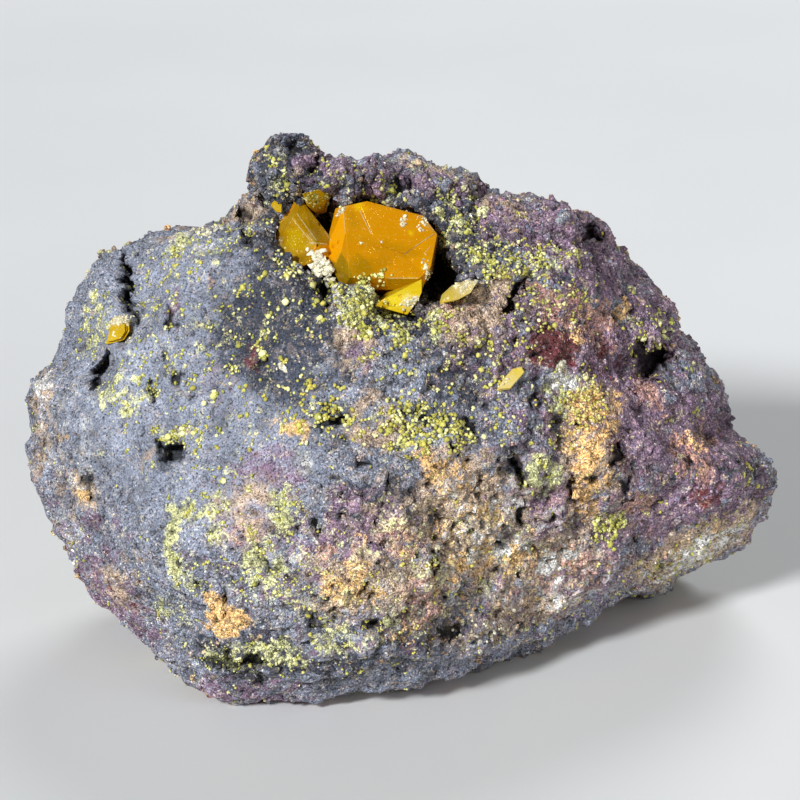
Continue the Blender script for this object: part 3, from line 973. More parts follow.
def gossan_material(settings):
    """The rock: stains broken up grain by grain, dark clefts and a few bright grains."""
    if "gossan_rock" in bpy.data.materials:
        return bpy.data.materials["gossan_rock"]
    material, tree, shader = new_material("gossan_rock", settings.mauve, ROCK_ROUGHNESS[1])
    fine = use_group(tree, grit_group(), FINE_GRIT)
    coarse = use_group(tree, grit_group(), COARSE_GRIT)
    calm = attribute_of(tree, "calm")
    breaks = []
    for side in (1.0, -1.0):
        grainy = scaled(tree, fine["Tone"], FINE_BREAK * side, -0.5 * (FINE_BREAK + COARSE_BREAK) * side)
        breaks.append(scaled(tree, coarse["Tone"], COARSE_BREAK * side, grainy))
    colour = tuple(settings.slate)
    for index, name in enumerate(STAINS):
        reach = math_node(tree, "ADD", attribute_of(tree, name), breaks[index % 2])
        colour = mix_node(tree, threshold(tree, reach, *STAIN_RANGE), colour, tuple(getattr(settings, name)))
    bright = threshold(tree, fine["Odd"], *BRIGHT_GRAINS)
    bright = product(tree, bright, scaled(tree, calm, -CALM_DULLNESS, 1.0))
    colour = mix_node(tree, bright, colour, tuple(settings.cream))
    colour = mix_node(tree, threshold(tree, coarse["Odd"], *EARTHY_GRAINS), colour, tuple(settings.tan))
    rough = scaled(tree, calm, -CALM_EVENNESS, 1.0)
    shade = threshold(tree, fine["Tone"], *FINE_SHADE)
    shade = math_node(tree, "ADD", shade, threshold(tree, coarse["Tone"], *COARSE_SHADE))
    shade = scaled(tree, shade, rough, ROCK_LIGHTNESS)
    for value, factor, offset in (
        (coarse["Pore"], *PORE_SHADE),
        (attribute_of(tree, "tone"), *PATCH_SHADE),
        (fine["Gap"], *GAP_SHADE),
        (attribute_of(tree, "cleft"), *CLEFT_SHADE),
    ):
        shade = product(tree, shade, scaled(tree, value, factor, offset))
    dull = scaled(tree, bright, *ROCK_ROUGHNESS)
    feed(tree, shader, Base_Color=shaded(tree, colour, shade), Roughness=dull)
    height = scaled(tree, coarse["Height"], COARSE_HEIGHT, fine["Height"])
    height = scaled(tree, coarse["Pore"], -PORE_DEPTH, height)
    add_bump(tree, shader, product(tree, height, rough), ROCK_BUMP)
    return material


def mimetite_material(settings):
    """The balls: lime to warm yellow, paler on top, dusty at the foot."""
    material, tree, shader = new_material("mimetite_balls", settings.lime, BALL_ROUGHNESS[0])
    grit = use_group(tree, grit_group(), BALL_GRIT)
    tone = attribute_of(tree, "tone")
    colour = mix_node(tree, attribute_of(tree, "warmth"), tuple(settings.lime), tuple(settings.yellow))
    colour = mix_node(tree, threshold(tree, tone, *PALE_BALLS), colour, tuple(settings.pale))
    shade = scaled(tree, attribute_of(tree, "rise"), *BALL_FOOT_SHADE)
    shade = product(tree, shade, scaled(tree, tone, *BALL_SHADE))
    shade = product(tree, shade, threshold(tree, grit["Tone"], *GRIT_TONES, *BALL_GRIT_SHADE))
    dull = threshold(tree, grit["Tone"], *GRIT_TONES, *BALL_ROUGHNESS)
    feed(tree, shader, Base_Color=shaded(tree, colour, shade), Roughness=dull)
    add_bump(tree, shader, grit["Height"], BALL_BUMP)
    return material


def wulfenite_material(settings, glass):
    """One crystal's glassy body."""
    colour, bands = (tuple(getattr(settings, name)) for name in (glass.colour, glass.bands))
    material, tree, shader = new_material(glass.name, colour, CRYSTAL_ROUGHNESS)
    growth = use_group(tree, growth_group(), GROWTH_SCALE)
    facet = attribute_of(tree, "facet")
    cloud = scaled(tree, growth["Veil"], *CLOUD)
    glow = product(tree, attribute_of(tree, "glow"), cloud)
    shadow = product(tree, attribute_of(tree, "deep"), scaled(tree, cloud, *SHADOW_CLOUD))
    frosted = product(tree, attribute_of(tree, "frost"), scaled(tree, growth["Fleck"], *FROST_FLECKS))
    veil = product(tree, growth["Veil"], glass.frost)
    fleck = math_node(tree, "ADD", product(tree, growth["Fleck"], glass.frost), frosted)
    body = mix_node(tree, growth["Bands"], colour, bands)
    for strength, tint in (
        (glow, glass.glow),
        (threshold(tree, facet, 0.0, 1.0), BRIGHT_FACET),
        (threshold(tree, facet, -1.0, 0.0, 1.0, 0.0), DARK_FACET),
        (shadow, SHADOW),
        (veil, VEIL),
        (fleck, FLECK),
    ):
        body = mix_node(tree, strength, body, tint)
    rough = scaled(tree, veil, VEIL_ROUGHNESS, CRYSTAL_ROUGHNESS)
    feed(tree, shader, Base_Color=body, Roughness=scaled(tree, fleck, FLECK_ROUGHNESS, rough))
    shader.inputs["Transmission Weight"].default_value = glass.clearness
    shader.inputs["IOR"].default_value = settings.refraction
    shader.inputs["Specular IOR Level"].default_value = SHINE
    shader.inputs["Specular Tint"].default_value = (*SHINE_TINT, 1.0)
    absorption = tree.nodes.new("ShaderNodeVolumeAbsorption")
    absorption.inputs["Color"].default_value = (*INNER_COLOUR, 1.0)
    absorption.inputs["Density"].default_value = INNER_DENSITY
    tree.links.new(absorption.outputs["Volume"], tree.nodes["Material Output"].inputs["Volume"])
    height = scaled(tree, growth["Fleck"], FLECK_HEIGHT, growth["Bands"])
    add_bump(tree, shader, height, CRYSTAL_BUMP)
    return material


def pale_material(name, colour, roughness):
    """Pale broken bits, each with its own tone."""
    material, tree, shader = new_material(name, colour, roughness)
    grit = use_group(tree, grit_group(), FINE_GRIT)
    shade = scaled(tree, attribute_of(tree, "tone"), *BIT_SHADE)
    shade = product(tree, shade, threshold(tree, grit["Tone"], *GRIT_TONES, *BIT_GRIT_SHADE))
    feed(tree, shader, Base_Color=shaded(tree, tuple(colour), shade))
    add_bump(tree, shader, grit["Height"], BIT_BUMP)
    return material


# Where things lie on the rock


def powder(uvw):
    """How much mimetite powder lies round the balls, as a strength of the lime stain."""
    shown = np.zeros(len(uvw))
    for swarm in SWARMS[:-1]:
        strength = min(1.0, POWDER_PER_BALL * swarm.per_mm2)
        shown = np.maximum(shown, strength * soft_patch(swarm, uvw[:, 0], uvw[:, 1], *POWDER_EDGE))
    return POWDER * shown * patchy(uvw, *POWDER_PATCHES)


def stain_strengths(points, facing):
    """Strength of each stain at world points, as arrays by name. facing is 1 where the surface faces as the
    display face does."""
    uvw = face_points(points)
    u, v = bent_places(uvw, *STAIN_WANDER)
    front = smooth((facing + FRONT_START) / FRONT_EDGE)
    calm = soft_patch(CALM_SLATE, uvw[:, 0], uvw[:, 1], *CALM_EDGE) * front
    mixed = 1.0 - CALM_MOTTLE * calm
    strengths = {"calm": calm}
    for index, (name, stains) in enumerate(STAINS.items()):
        shown = np.zeros(len(points))
        for stain in stains:
            shown += stain.strength * soft_patch(stain, u, v, *STAIN_EDGE)
        waves = sum(MOTTLE_HEIGHT * noise_at(uvw, size, MOTTLE_START + 13.0 * index) for size in MOTTLE_SIZES)
        mottle = waves if name == "lime" else waves * mixed
        if name == "lime":
            shown += powder(uvw)
        field = 0.5 + BACK_STAIN_HEIGHT * noise_at(uvw, BACK_STAIN_SIZE, BACK_STAIN_START + 17.0 * index)
        hidden = smooth((field - BACK_STAINS[name]) / BACK_STAIN_EDGE + 0.5) * BACK_STAIN_STRENGTH
        spread = FRONT_STAIN_STRENGTH * shown * front + hidden * (1.0 - front)
        strengths[name] = np.clip(spread * (1.0 + MOTTLE * mottle) + STRAY * mottle - PLAIN, 0.0, 1.0)
    return strengths


def ground_tone(uvw):
    """How light the rock is in broad patches: 0.5 is usual."""
    return 0.5 + sum(height * noise_at(uvw, size, start) for size, start, height in TONE_WAVES)


def surface_arrays(mesh):
    """Centres, normals, areas in square millimetres and corner numbers of a mesh's triangles."""
    mesh.calc_loop_triangles()
    count = len(mesh.loop_triangles)
    corners = np.empty(count * 3, np.int32)
    normals = np.empty(count * 3, np.float32)
    areas = np.empty(count, np.float32)
    mesh.loop_triangles.foreach_get("vertices", corners)
    mesh.loop_triangles.foreach_get("normal", normals)
    mesh.loop_triangles.foreach_get("area", areas)
    points = np.empty(len(mesh.vertices) * 3, np.float32)
    mesh.vertices.foreach_get("co", points)
    points, corners = points.reshape(-1, 3), corners.reshape(-1, 3)
    return points, corners, normals.reshape(-1, 3), areas / MM**2


def random_places(points, corners, expected, rng):
    """Random points on triangles, and their triangles. expected is how many each triangle should hold."""
    chosen = np.repeat(np.arange(len(corners)), rng.poisson(expected))
    weights = rng.dirichlet((1.0, 1.0, 1.0), len(chosen))
    return np.einsum("ij,ijk->ik", weights, points[corners[chosen]]), chosen


def random_turns(count, rng):
    """Random rotation matrices."""
    turns = rng.normal(size=(count, 4))
    w, x, y, z = (turns / np.linalg.norm(turns, axis=1, keepdims=True)).T
    rows = (
        (1 - 2 * (y * y + z * z), 2 * (x * y - z * w), 2 * (x * z + y * w)),
        (2 * (x * y + z * w), 1 - 2 * (x * x + z * z), 2 * (y * z - x * w)),
        (2 * (x * z - y * w), 2 * (y * z + x * w), 1 - 2 * (x * x + y * y)),
    )
    return np.moveaxis(np.array(rows), 2, 0)


def shape_arrays(bm):
    """Corners and faces of a small triangulated mesh."""
    bmesh.ops.triangulate(bm, faces=bm.faces)
    corners = np.array([vert.co for vert in bm.verts])
    faces = np.array([[vert.index for vert in face.verts] for face in bm.faces])
    bm.free()
    return corners, faces


def ball_shapes(count, unevenness, rng):
    """Lumpy balls, 1 across."""
    shapes = []
    for index in range(count):
        bm = bmesh.new()
        bmesh.ops.create_icosphere(bm, subdivisions=2, radius=0.5)
        start = Vector((index * 7.0, 0.0, 0.0))
        for vert in bm.verts:
            lump = noise.noise(vert.co * LUMPS_ACROSS + start)
            vert.co *= 1.0 + unevenness * (LUMP_HEIGHT * lump + rng.uniform(-LUMP_JITTER, LUMP_JITTER))
        bm.verts.index_update()
        shapes.append(shape_arrays(bm))
    return shapes


def bunch_shapes(count, rng):
    """Three or four small balls grown into one another, about 1 across."""
    shapes = []
    for _ in range(count):
        bm = bmesh.new()
        for _ in range(int(rng.integers(3, 5))):
            turn = rng.uniform(0.0, 2.0 * math.pi)
            reach = rng.uniform(*BUNCH_REACH)
            centre = Vector((reach * math.cos(turn), reach * math.sin(turn), rng.uniform(*BUNCH_RISE)))
            radius = rng.uniform(*BUNCH_RADII)
            matrix = Matrix.Translation(centre)
            made = bmesh.ops.create_icosphere(bm, subdivisions=1, radius=radius, matrix=matrix)
            for vert in made["verts"]:
                vert.co += (vert.co - centre) * rng.uniform(-BUNCH_JITTER, BUNCH_JITTER)
        bm.verts.index_update()
        shapes.append(shape_arrays(bm))
    return shapes


def grain_shapes(count, unevenness, rng):
    """Angular grains of 20 faces, 1 across."""
    shapes = []
    for _ in range(count):
        bm = bmesh.new()
        bmesh.ops.create_icosphere(bm, subdivisions=1, radius=0.5)
        for vert in bm.verts:
            vert.co *= 1.0 + rng.uniform(-unevenness, unevenness)
        bm.verts.index_update()
        shapes.append(shape_arrays(bm))
    return shapes


def standing_turns(ups, rng):
    """Rotation matrices that turn +Z to each of these directions, with a random spin round it."""
    sideways = np.cross(ups, rng.normal(size=ups.shape))
    sideways /= np.linalg.norm(sideways, axis=1, keepdims=True)
    return np.stack((sideways, np.cross(ups, sideways), ups), axis=2)


def joined_copies(name, shapes, centres, sizes, turns, **values):
    """One mesh with a copy of a shape at each centre, the shapes taken in turn.

    sizes has three numbers for each copy, turns a rotation matrix, and each array in values becomes an
    attribute. Returns the mesh and, for each corner, its copy and its place round that copy's centre.
    """
    points, faces, owners, offsets = [], [], [], []
    start = 0
    for index, (corners, triangles) in enumerate(shapes):
        members = np.arange(index, len(centres), len(shapes))
        local = np.einsum("nij,nkj->nki", turns[members], corners[None] * sizes[members, None, :])
        points.append((local + centres[members, None, :]).reshape(-1, 3))
        offsets.append(local.reshape(-1, 3))
        steps = start + len(corners) * np.arange(len(members))
        faces.append((triangles[None] + steps[:, None, None]).reshape(-1, 3))
        owners.append(np.repeat(members, len(corners)))
        start += len(corners) * len(members)
    mesh = bpy.data.meshes.new(name)
    mesh.from_pydata(np.concatenate(points).tolist(), [], np.concatenate(faces).tolist())
    owners, offsets = np.concatenate(owners), np.concatenate(offsets)
    for label, array in values.items():
        set_attribute(mesh, label, array[owners])
    return mesh, owners, offsets


def apart(centres, diameters, nearness):
    """Which of the balls to keep, so that no two are nearer than this share of their radii together."""
    cell = diameters.max()
    kept_in, kept = {}, []
    for index, centre in enumerate(centres):
        key = tuple(np.floor(centre / cell).astype(int))
        near = [
            other
            for dx in (-1, 0, 1)
            for dy in (-1, 0, 1)
            for dz in (-1, 0, 1)
            for other in kept_in.get((key[0] + dx, key[1] + dy, key[2] + dz), ())
        ]
        if near:
            gaps = np.linalg.norm(centres[near] - centre, axis=1)
            if np.any(gaps < nearness * 0.5 * (diameters[near] + diameters[index])):
                continue
        kept_in.setdefault(key, []).append(index)
        kept.append(index)
    return np.array(kept)


# The rock


def smooth_out(bm, verts, times):
    for _ in range(times):
        bmesh.ops.smooth_vert(bm, verts=verts, factor=0.5, use_axis_x=True, use_axis_y=True, use_axis_z=True)


def remeshed(node, spacing):
    """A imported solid's surface as an even net of points."""
    source = bpy.data.objects.new("rock_source", new_mesh("rock_source", merged_copy(node)))
    bpy.context.scene.collection.objects.link(source)
    remesh = source.modifiers.new("net", "REMESH")
    remesh.mode = "VOXEL"
    remesh.voxel_size = spacing
    bm = evaluated(source)
    smooth_out(bm, bm.verts, NET_SMOOTHINGS)
    return bm


def refine_display_face(bm):
    """Twice as many points across on the side that is shown."""
    bm.normal_update()
    edges = {edge for face in bm.faces if face.normal.dot(OUTWARDS) > SHOWN_FACING for edge in face.edges}
    bmesh.ops.subdivide_edges(bm, edges=list(edges), cuts=1, use_grid_fill=True)
    bmesh.ops.triangulate(bm, faces=[face for face in bm.faces if len(face.verts) > 4])
    bm.normal_update()


def rock_relief(point, settings):
    """Height in metres of crags, rounded knobs and grit at a (u, v, w), and how deep in a cleft it is."""
    bent = point + noise.noise_vector(point / BEND_SIZE) * BEND_REACH
    crags = noise.fractal(bent / CRAG_SIZE, *CRAG_FRACTAL)
    near, second = noise.voronoi(bent / KNOB_SPACING)[0][:2]
    knobs = KNOB_TOP - KNOB_ROUNDNESS * near * near
    crease = max(0.0, 1.0 - (second - near) * CREASE_STEEPNESS)
    fine = noise.fractal(point / GRIT_SIZE, *GRIT_FRACTAL)
    holes = max(0.0, noise.noise(bent / HOLE_SIZE + HOLES_START) - HOLE_LEVEL) * HOLE_STEEPNESS
    height = (
        settings.crag_height * crags
        + settings.knob_height * (knobs - CREASE_DEPTH * crease)
        + settings.grit_height * fine
        - HOLE_DEPTH * MM * min(holes, 1.0)
    )
    dark = CREASE_DARKNESS * crease * max(0.0, LOW_CRAGS - crags)
    dark += max(0.0, -HOLLOW_DARKNESS * crags - HOLLOW_LEVEL)
    return height, min(1.0, dark + min(holes, 1.0))


def crystal_tree():
    """What is needed to find how near a point is to a crystal."""
    bm = bmesh.new()
    for name in frame["nodes"]:
        if name.startswith("wulfenite"):
            bm.from_mesh(frame["nodes"][name].data)
    tree = BVHTree.FromBMesh(bm)
    bm.free()
    return tree


def pit_arrays(uvw, facing):
    """How deep in a pit each (u, v, w) lies, in millimetres, and how dark it is there."""
    u, v = bent_places(uvw, *PIT_WANDER)
    sunk, dark = np.zeros(len(uvw)), np.zeros(len(uvw))
    in_front = (facing > PIT_FACING) * (uvw[:, 2] > HIDDEN_DEPTH)
    for pit in PITS:
        sunk = np.maximum(sunk, soft_patch(pit, u, v, *PIT_EDGE) * in_front * pit.depth)
        dark = np.maximum(dark, soft_patch(pit, u, v, *PIT_SHADE_EDGE) * in_front)
    return sunk, dark


def even_out(bm):
    """Smooths away the folds that are sharper than this rock's."""
    uvw = face_points([vert.co for vert in bm.verts])
    near = np.zeros(len(uvw), bool)
    for patch in EVENED:
        near |= (patch_distance(patch, uvw[:, 0], uvw[:, 1]) < 1.0) & (uvw[:, 2] > HIDDEN_DEPTH)
    smooth_out(bm, [vert for vert, inside in zip(bm.verts, near) if inside], EVENINGS)


def carve(bm, settings):
    """Gives the rock its relief, pits and cracks. Returns how deep in a cleft each point is."""
    points = np.array([vert.co for vert in bm.verts])
    normals = np.array([vert.normal for vert in bm.verts])
    uvw = face_points(points)
    facing = normals @ np.array(OUTWARDS)
    crystals = crystal_tree()
    rough = np.ones(len(points))
    for area in RELIEF_AREAS:
        rough += area.strength * soft_patch(area, uvw[:, 0], uvw[:, 1], *AREA_EDGE) * (facing > AREA_FACING)
    sunk, cleft = pit_arrays(uvw, facing)
    for index, vert in enumerate(bm.verts):
        height, depth = rock_relief(Vector(uvw[index]), settings)
        height *= rough[index]
        gap = crystals.find_nearest(vert.co, CRYSTAL_REACH)[3]
        if gap is not None:
            height = min(height, 0.0) * gap / CRYSTAL_REACH
        vert.co += vert.normal * height - OUTWARDS * float(sunk[index]) * MM
        vert.co.z = max(vert.co.z, 0.0)
        cleft[index] = max(cleft[index], depth * rough[index])
    bm.normal_update()
    return cleft


class SPECIMEN_OT_gossan(bpy.types.Operator):
    """Makes the rock that carries the crystals, with its relief, pits and stains"""

    bl_idname = "specimen.gossan"
    bl_label = "Gossan"

    def execute(self, context):
        settings = context.scene.specimen.rock
        noise.seed_set(settings.seed)
        bm = remeshed("matrix", settings.spacing)
        even_out(bm)
        refine_display_face(bm)
        cleft = carve(bm, settings)
        points = np.array([vert.co for vert in bm.verts])
        facing = np.array([vert.normal for vert in bm.verts]) @ np.array(OUTWARDS)
        mesh = new_mesh("gossan", bm, smooth_shaded=True)
        for name, strength in stain_strengths(points, facing).items():
            set_attribute(mesh, name, strength)
        set_attribute(mesh, "cleft", cleft)
        set_attribute(mesh, "tone", ground_tone(face_points(points)))
        show("gossan", mesh, gossan_material(settings), "gossan", "matrix")
        return {"FINISHED"}


def rock_values(places, facing, tone_shift, tone_spread, rng):
    """The attributes with which the rock's material shades what stands on it."""
    values = stain_strengths(places, facing)
    tone = ground_tone(face_points(places)) + rng.normal(tone_shift, tone_spread, len(places))
    values["tone"] = np.clip(tone, 0.0, LIGHTEST_TONE)
    values["cleft"] = pit_arrays(face_points(places), facing)[1]
    return values


class SPECIMEN_OT_grains(bpy.types.Operator):
    """Sets angular grains and rough knobs on the rock"""

    bl_idname = "specimen.grains"
    bl_label = "Grains and Knobs"

    def execute(self, context):
        settings = context.scene.specimen.grains
        rng = np.random.default_rng(settings.seed)
        material = gossan_material(context.scene.specimen.rock)
        points, corners, normals, areas = surface_arrays(bpy.data.objects["gossan"].data)
        facing = normals @ np.array(OUTWARDS)
        centres = points[corners].mean(axis=1)
        uvw = face_points(centres)

        density = np.where(facing > GRAIN_FACING, settings.front_density, settings.back_density)
        density = density * patchy(uvw, *GRAIN_PATCHES)
        calm = soft_patch(CALM_SLATE, uvw[:, 0], uvw[:, 1], *CALM_GRAIN_EDGE)
        density *= (1.0 - CALM_BARENESS * calm) * (centres[:, 2] > GRAIN_FOOT * MM)
        places, chosen = random_places(points, corners, areas * density, rng)
        width = settings.size * np.exp(rng.normal(0.0, GRAIN_VARIETY, len(places)))
        sizes = width[:, None] * rng.uniform(*GRAIN_ASPECTS, (len(places), 3))
        places = places + normals[chosen] * (width * GRAIN_LIFT)[:, None]
        values = rock_values(places, facing[chosen], *GRAIN_TONE, rng)
        shapes = grain_shapes(SHAPES, GRAIN_UNEVENNESS, rng)
        turns = random_turns(len(places), rng)
        mesh, _, _ = joined_copies("grains", shapes, places, sizes, turns, **values)
        show("grains", mesh, material, "gossan")

        density = sum(knobs.per_mm2 * soft_patch(knobs, uvw[:, 0], uvw[:, 1], *KNOB_EDGE) for knobs in KNOBS)
        density = np.where(facing > 0.0, density, BACK_KNOBS) * patchy(uvw, *KNOB_PATCHES)
        density *= 1.0 - PIT_BARENESS * pit_arrays(uvw, facing)[1]
        density = density * (centres[:, 2] > KNOB_FOOT * MM)
        places, chosen = random_places(points, corners, areas * density, rng)
        width = settings.knob_size * np.exp(rng.normal(0.0, KNOB_VARIETY, len(places)))
        sizes = width[:, None] * rng.uniform(*KNOB_ASPECTS, (len(places), 3))
        values = rock_values(places, facing[chosen], *KNOB_TONE, rng)
        turns = random_turns(len(places), rng)
        shapes = grain_shapes(KNOB_SHAPES, KNOB_UNEVENNESS, rng)
        mesh, _, _ = joined_copies("knobs", shapes, places, sizes, turns, **values)
        show("knobs", mesh, material, "gossan")
        return {"FINISHED"}


# Wulfenite


def crystal_hull(corners):
    """The flat faces that a crystal's corners span."""
    bm = bmesh.new()
    for corner in corners:
        bm.verts.new(place(*corner))
    bmesh.ops.convex_hull(bm, input=bm.verts)
    bmesh.ops.delete(bm, geom=[vert for vert in bm.verts if not vert.link_faces], context="VERTS")
    return bm


def flat_crystal(corners, low, high):
    """A plate with these corners in (u, v), between two distances w at each corner."""
    points = [(u, v, w) for levels in (low, high) for (u, v), w in zip(corners, levels)]
    return crystal_hull(points)


def ground_at(tree, u, v):
    """The w of the surface in front at (u, v)."""
    point, _ = front_hit(tree, u, v)
    if point is None:
        raise RuntimeError(f"no surface lies at ({u}, {v})")
    return (FACE.inverted() @ point).z


def raised_plate(tree):
    """The thin plate on the main block's face, along the face wherever that slopes."""
    points = []
    for u, v in UPPER_PLATE:
        w = ground_at(tree, u, v)
        points += [(u, v, w + PLATE_HEIGHT), (u, v, w - PLATE_DEPTH)]
    return crystal_hull(points)


def layered_crystal(blade, tree, rng):
    """A small crystal of stacked layers, each a little narrower than the one below."""
    corners = np.array(blade.corners)
    middle = corners.mean(axis=0)
    ground = np.array([ground_at(tree, *corner) for corner in (*corners, middle)])
    design = np.column_stack((np.vstack((corners, middle)), np.ones(len(ground))))
    slope = np.linalg.lstsq(design, ground, rcond=None)[0]
    lift = max(0.0, float((ground - design @ slope).max()) * BLADE_LIFT)
    joined = bmesh.new()
    for layer in range(blade.layers):
        shrunk = 1.0 - LAYER_STEP * layer
        shift = rng.normal(0.0, LAYER_SHIFT, 2) * (layer > 0)
        ring = middle + shift + (corners - middle) * shrunk
        level = np.column_stack((ring, np.ones(len(ring)))) @ slope + lift
        low = -BLADE_ROOT if layer == 0 else blade.rise * layer / blade.layers
        high = blade.rise * (layer + 1) / blade.layers
        part = new_mesh("layer", flat_crystal(ring, level + low, level + high))
        joined.from_mesh(part)
        bpy.data.meshes.remove(part)
    return joined


def cut_along(bm, point, across):
    """Divides a mesh along a plane."""
    parts = bm.verts[:] + bm.edges[:] + bm.faces[:]
    bmesh.ops.bisect_plane(bm, geom=parts, plane_co=point, plane_no=across, dist=CUT_WITHIN)


def divide_faces(bm):
    """Divides flat faces into a net, so that tints can change across them."""
    uvw = face_points([vert.co for vert in bm.verts])
    for axis in (0, 1):
        across = (FACE.to_3x3() @ Vector((1 - axis, axis, 0))).normalized()
        for at in np.arange(uvw[:, axis].min(), uvw[:, axis].max(), TINT_STEP)[1:]:
            cut_along(bm, place(*(at if index == axis else 0.0 for index in range(3))), across)


def inside_corners(corners, u, v):
    """Which points lie inside a convex or nearly convex outline, as an array."""
    inside = np.zeros(len(u), bool)
    for (u0, v0), (u1, v1) in zip(corners, (*corners[1:], corners[0])):
        crossed = (v0 > v) != (v1 > v)
        inside ^= crossed & (u < u0 + (u1 - u0) * (v - v0) / (v1 - v0 if v1 != v0 else 1.0))
    return inside


def facets_of(piece):
    return [facet for facet in FACETS if facet.piece == piece]


def cut_facets(bm, piece):
    """Divides a crystal's faces along the outlines of its facets."""
    for facet in facets_of(piece):
        for start, end in zip(facet.corners, (*facet.corners[1:], facet.corners[0])):
            side = place(*end, 0.0) - place(*start, 0.0)
            cut_along(bm, place(*start, 0.0), side.cross(OUTWARDS).normalized())


def write_facets(mesh, piece):
    """Writes how much each face is changed by the facet that it lies in."""
    uvw = face_points([face.center for face in mesh.polygons])
    change = np.zeros(len(uvw))
    for facet in facets_of(piece):
        inside = inside_corners(facet.corners, uvw[:, 0], uvw[:, 1])
        change[inside & (uvw[:, 2] > FACET_DEPTH)] = facet.change
    attribute = mesh.attributes.new("facet", "FLOAT", "FACE")
    attribute.data.foreach_set("value", change.astype(np.float32))


def write_tints(mesh):
    """Writes the crystals' tints into a mesh."""
    uvw = face_points([vert.co for vert in mesh.vertices])
    u, v = bent_places(uvw, *TINT_WANDER)
    for name, stains in TINTS.items():
        shown = np.zeros(len(uvw))
        for stain in stains:
            shown = np.maximum(shown, stain.strength * soft_patch(stain, u, v, *TINT_EDGE))
        set_attribute(mesh, name, shown)


def nick_balls(bm, count, rng):
    """Rough balls on the edges of a crystal, to be cut out of it."""
    edges = [edge for edge in bm.edges if edge.calc_length() > NICK_EDGE * MM]
    balls = bmesh.new()
    for _ in range(count):
        edge = edges[int(rng.integers(len(edges)))]
        middle = edge.verts[0].co.lerp(edge.verts[1].co, rng.uniform(*NICK_PLACES))
        size = rng.uniform(*NICK_RADII) * MM
        matrix = Matrix.Translation(middle)
        made = bmesh.ops.create_icosphere(balls, subdivisions=1, radius=size, matrix=matrix)
        for vert in made["verts"]:
            vert.co += Vector(rng.normal(0.0, NICK_ROUGHNESS, 3)) * size
    return balls


def finish_crystal(name, bm, width, rng, nicks):
    """A crystal's mesh with worn edges, small nicks broken out of them, facets and tints."""
    bmesh.ops.dissolve_limit(bm, angle_limit=FLAT_WITHIN, verts=bm.verts, edges=bm.edges)
    bmesh.ops.recalc_face_normals(bm, faces=bm.faces)
    balls = nick_balls(bm, nicks, rng)
    bmesh.ops.bevel(
        bm,
        geom=bm.edges,
        offset=width,
        offset_type="OFFSET",
        segments=2,
        profile=0.5,
        affect="EDGES",
        material=-1,
        clamp_overlap=True,
    )
    divide_faces(bm)
    cut_facets(bm, name)
    body = bpy.data.objects.new("crystal_body", new_mesh("crystal_body", bm))
    tool = bpy.data.objects.new("nicks", new_mesh("nicks", balls))
    for obj in (body, tool):
        bpy.context.scene.collection.objects.link(obj)
    cut = body.modifiers.new("nicks", "BOOLEAN")
    cut.object = tool
    cut.operation = "DIFFERENCE"
    cut.solver = "EXACT"
    cut.use_self = True
    bm = evaluated(body)
    bpy.data.objects.remove(tool)
    if not bm.faces:
        raise RuntimeError("a crystal was lost when its nicks were cut")
    mesh = new_mesh(name, bm)
    write_facets(mesh, name)
    write_tints(mesh)
    return mesh


class SPECIMEN_OT_large_wulfenite(bpy.types.Operator):
    """Makes the main block, the clear crystal on its left and the bright wedge under it"""

    bl_idname = "specimen.large_wulfenite"
    bl_label = "Large Wulfenite"

    def execute(self, context):
        settings = context.scene.specimen.wulfenite
        rng = np.random.default_rng(settings.seed)
        materials = [wulfenite_material(settings, glass) for _, _, glass, _ in LARGE_CRYSTALS]
        for (name, corners, _, nicks), material in zip(LARGE_CRYSTALS, materials):
            mesh = finish_crystal(name, crystal_hull(corners), settings.edge, rng, nicks)
            show(name, mesh, material, "wulfenite", "wulfenite_cluster")
        plate = raised_plate(front_tree("main_block"))
        mesh = finish_crystal("upper_plate", plate, PLATE_EDGE * settings.edge, rng, PLATE_NICKS)
        show("upper_plate", mesh, materials[0], "wulfenite", "wulfenite_cluster")
        return {"FINISHED"}


class SPECIMEN_OT_small_wulfenite(bpy.types.Operator):
    """Makes the small crystals and blades round the vug and on the rock"""

    bl_idname = "specimen.small_wulfenite"
    bl_label = "Small Wulfenite"

    def execute(self, context):
        settings = context.scene.specimen.wulfenite
        rng = np.random.default_rng(settings.seed + 1)
        amber, pale = (wulfenite_material(settings, glass) for glass in (SMALL_GLASS, BLADE_GLASS))
        rock = front_tree("gossan")
        for name, blade in SMALL_CRYSTALS.items():
            body = layered_crystal(blade, rock, rng)
            mesh = finish_crystal(name, body, BLADE_EDGE * settings.edge, rng, BLADE_NICKS)
            show(name + "_crystal", mesh, pale if "blade" in name else amber, "wulfenite", name)
        return {"FINISHED"}


def front_tree(*names):
    """What is needed to find the surface of these pieces from the front."""
    bm = bmesh.new()
    for name in names:
        bm.from_mesh(bpy.data.objects[name].data)
    tree = BVHTree.FromBMesh(bm)
    bm.free()
    return tree


def front_hit(tree, u, v):
    """The world point and normal of the surface in front at (u, v), or None twice."""
    point, normal, _, _ = tree.ray_cast(place(u, v, FAR_OUT), -OUTWARDS)
    return point, normal


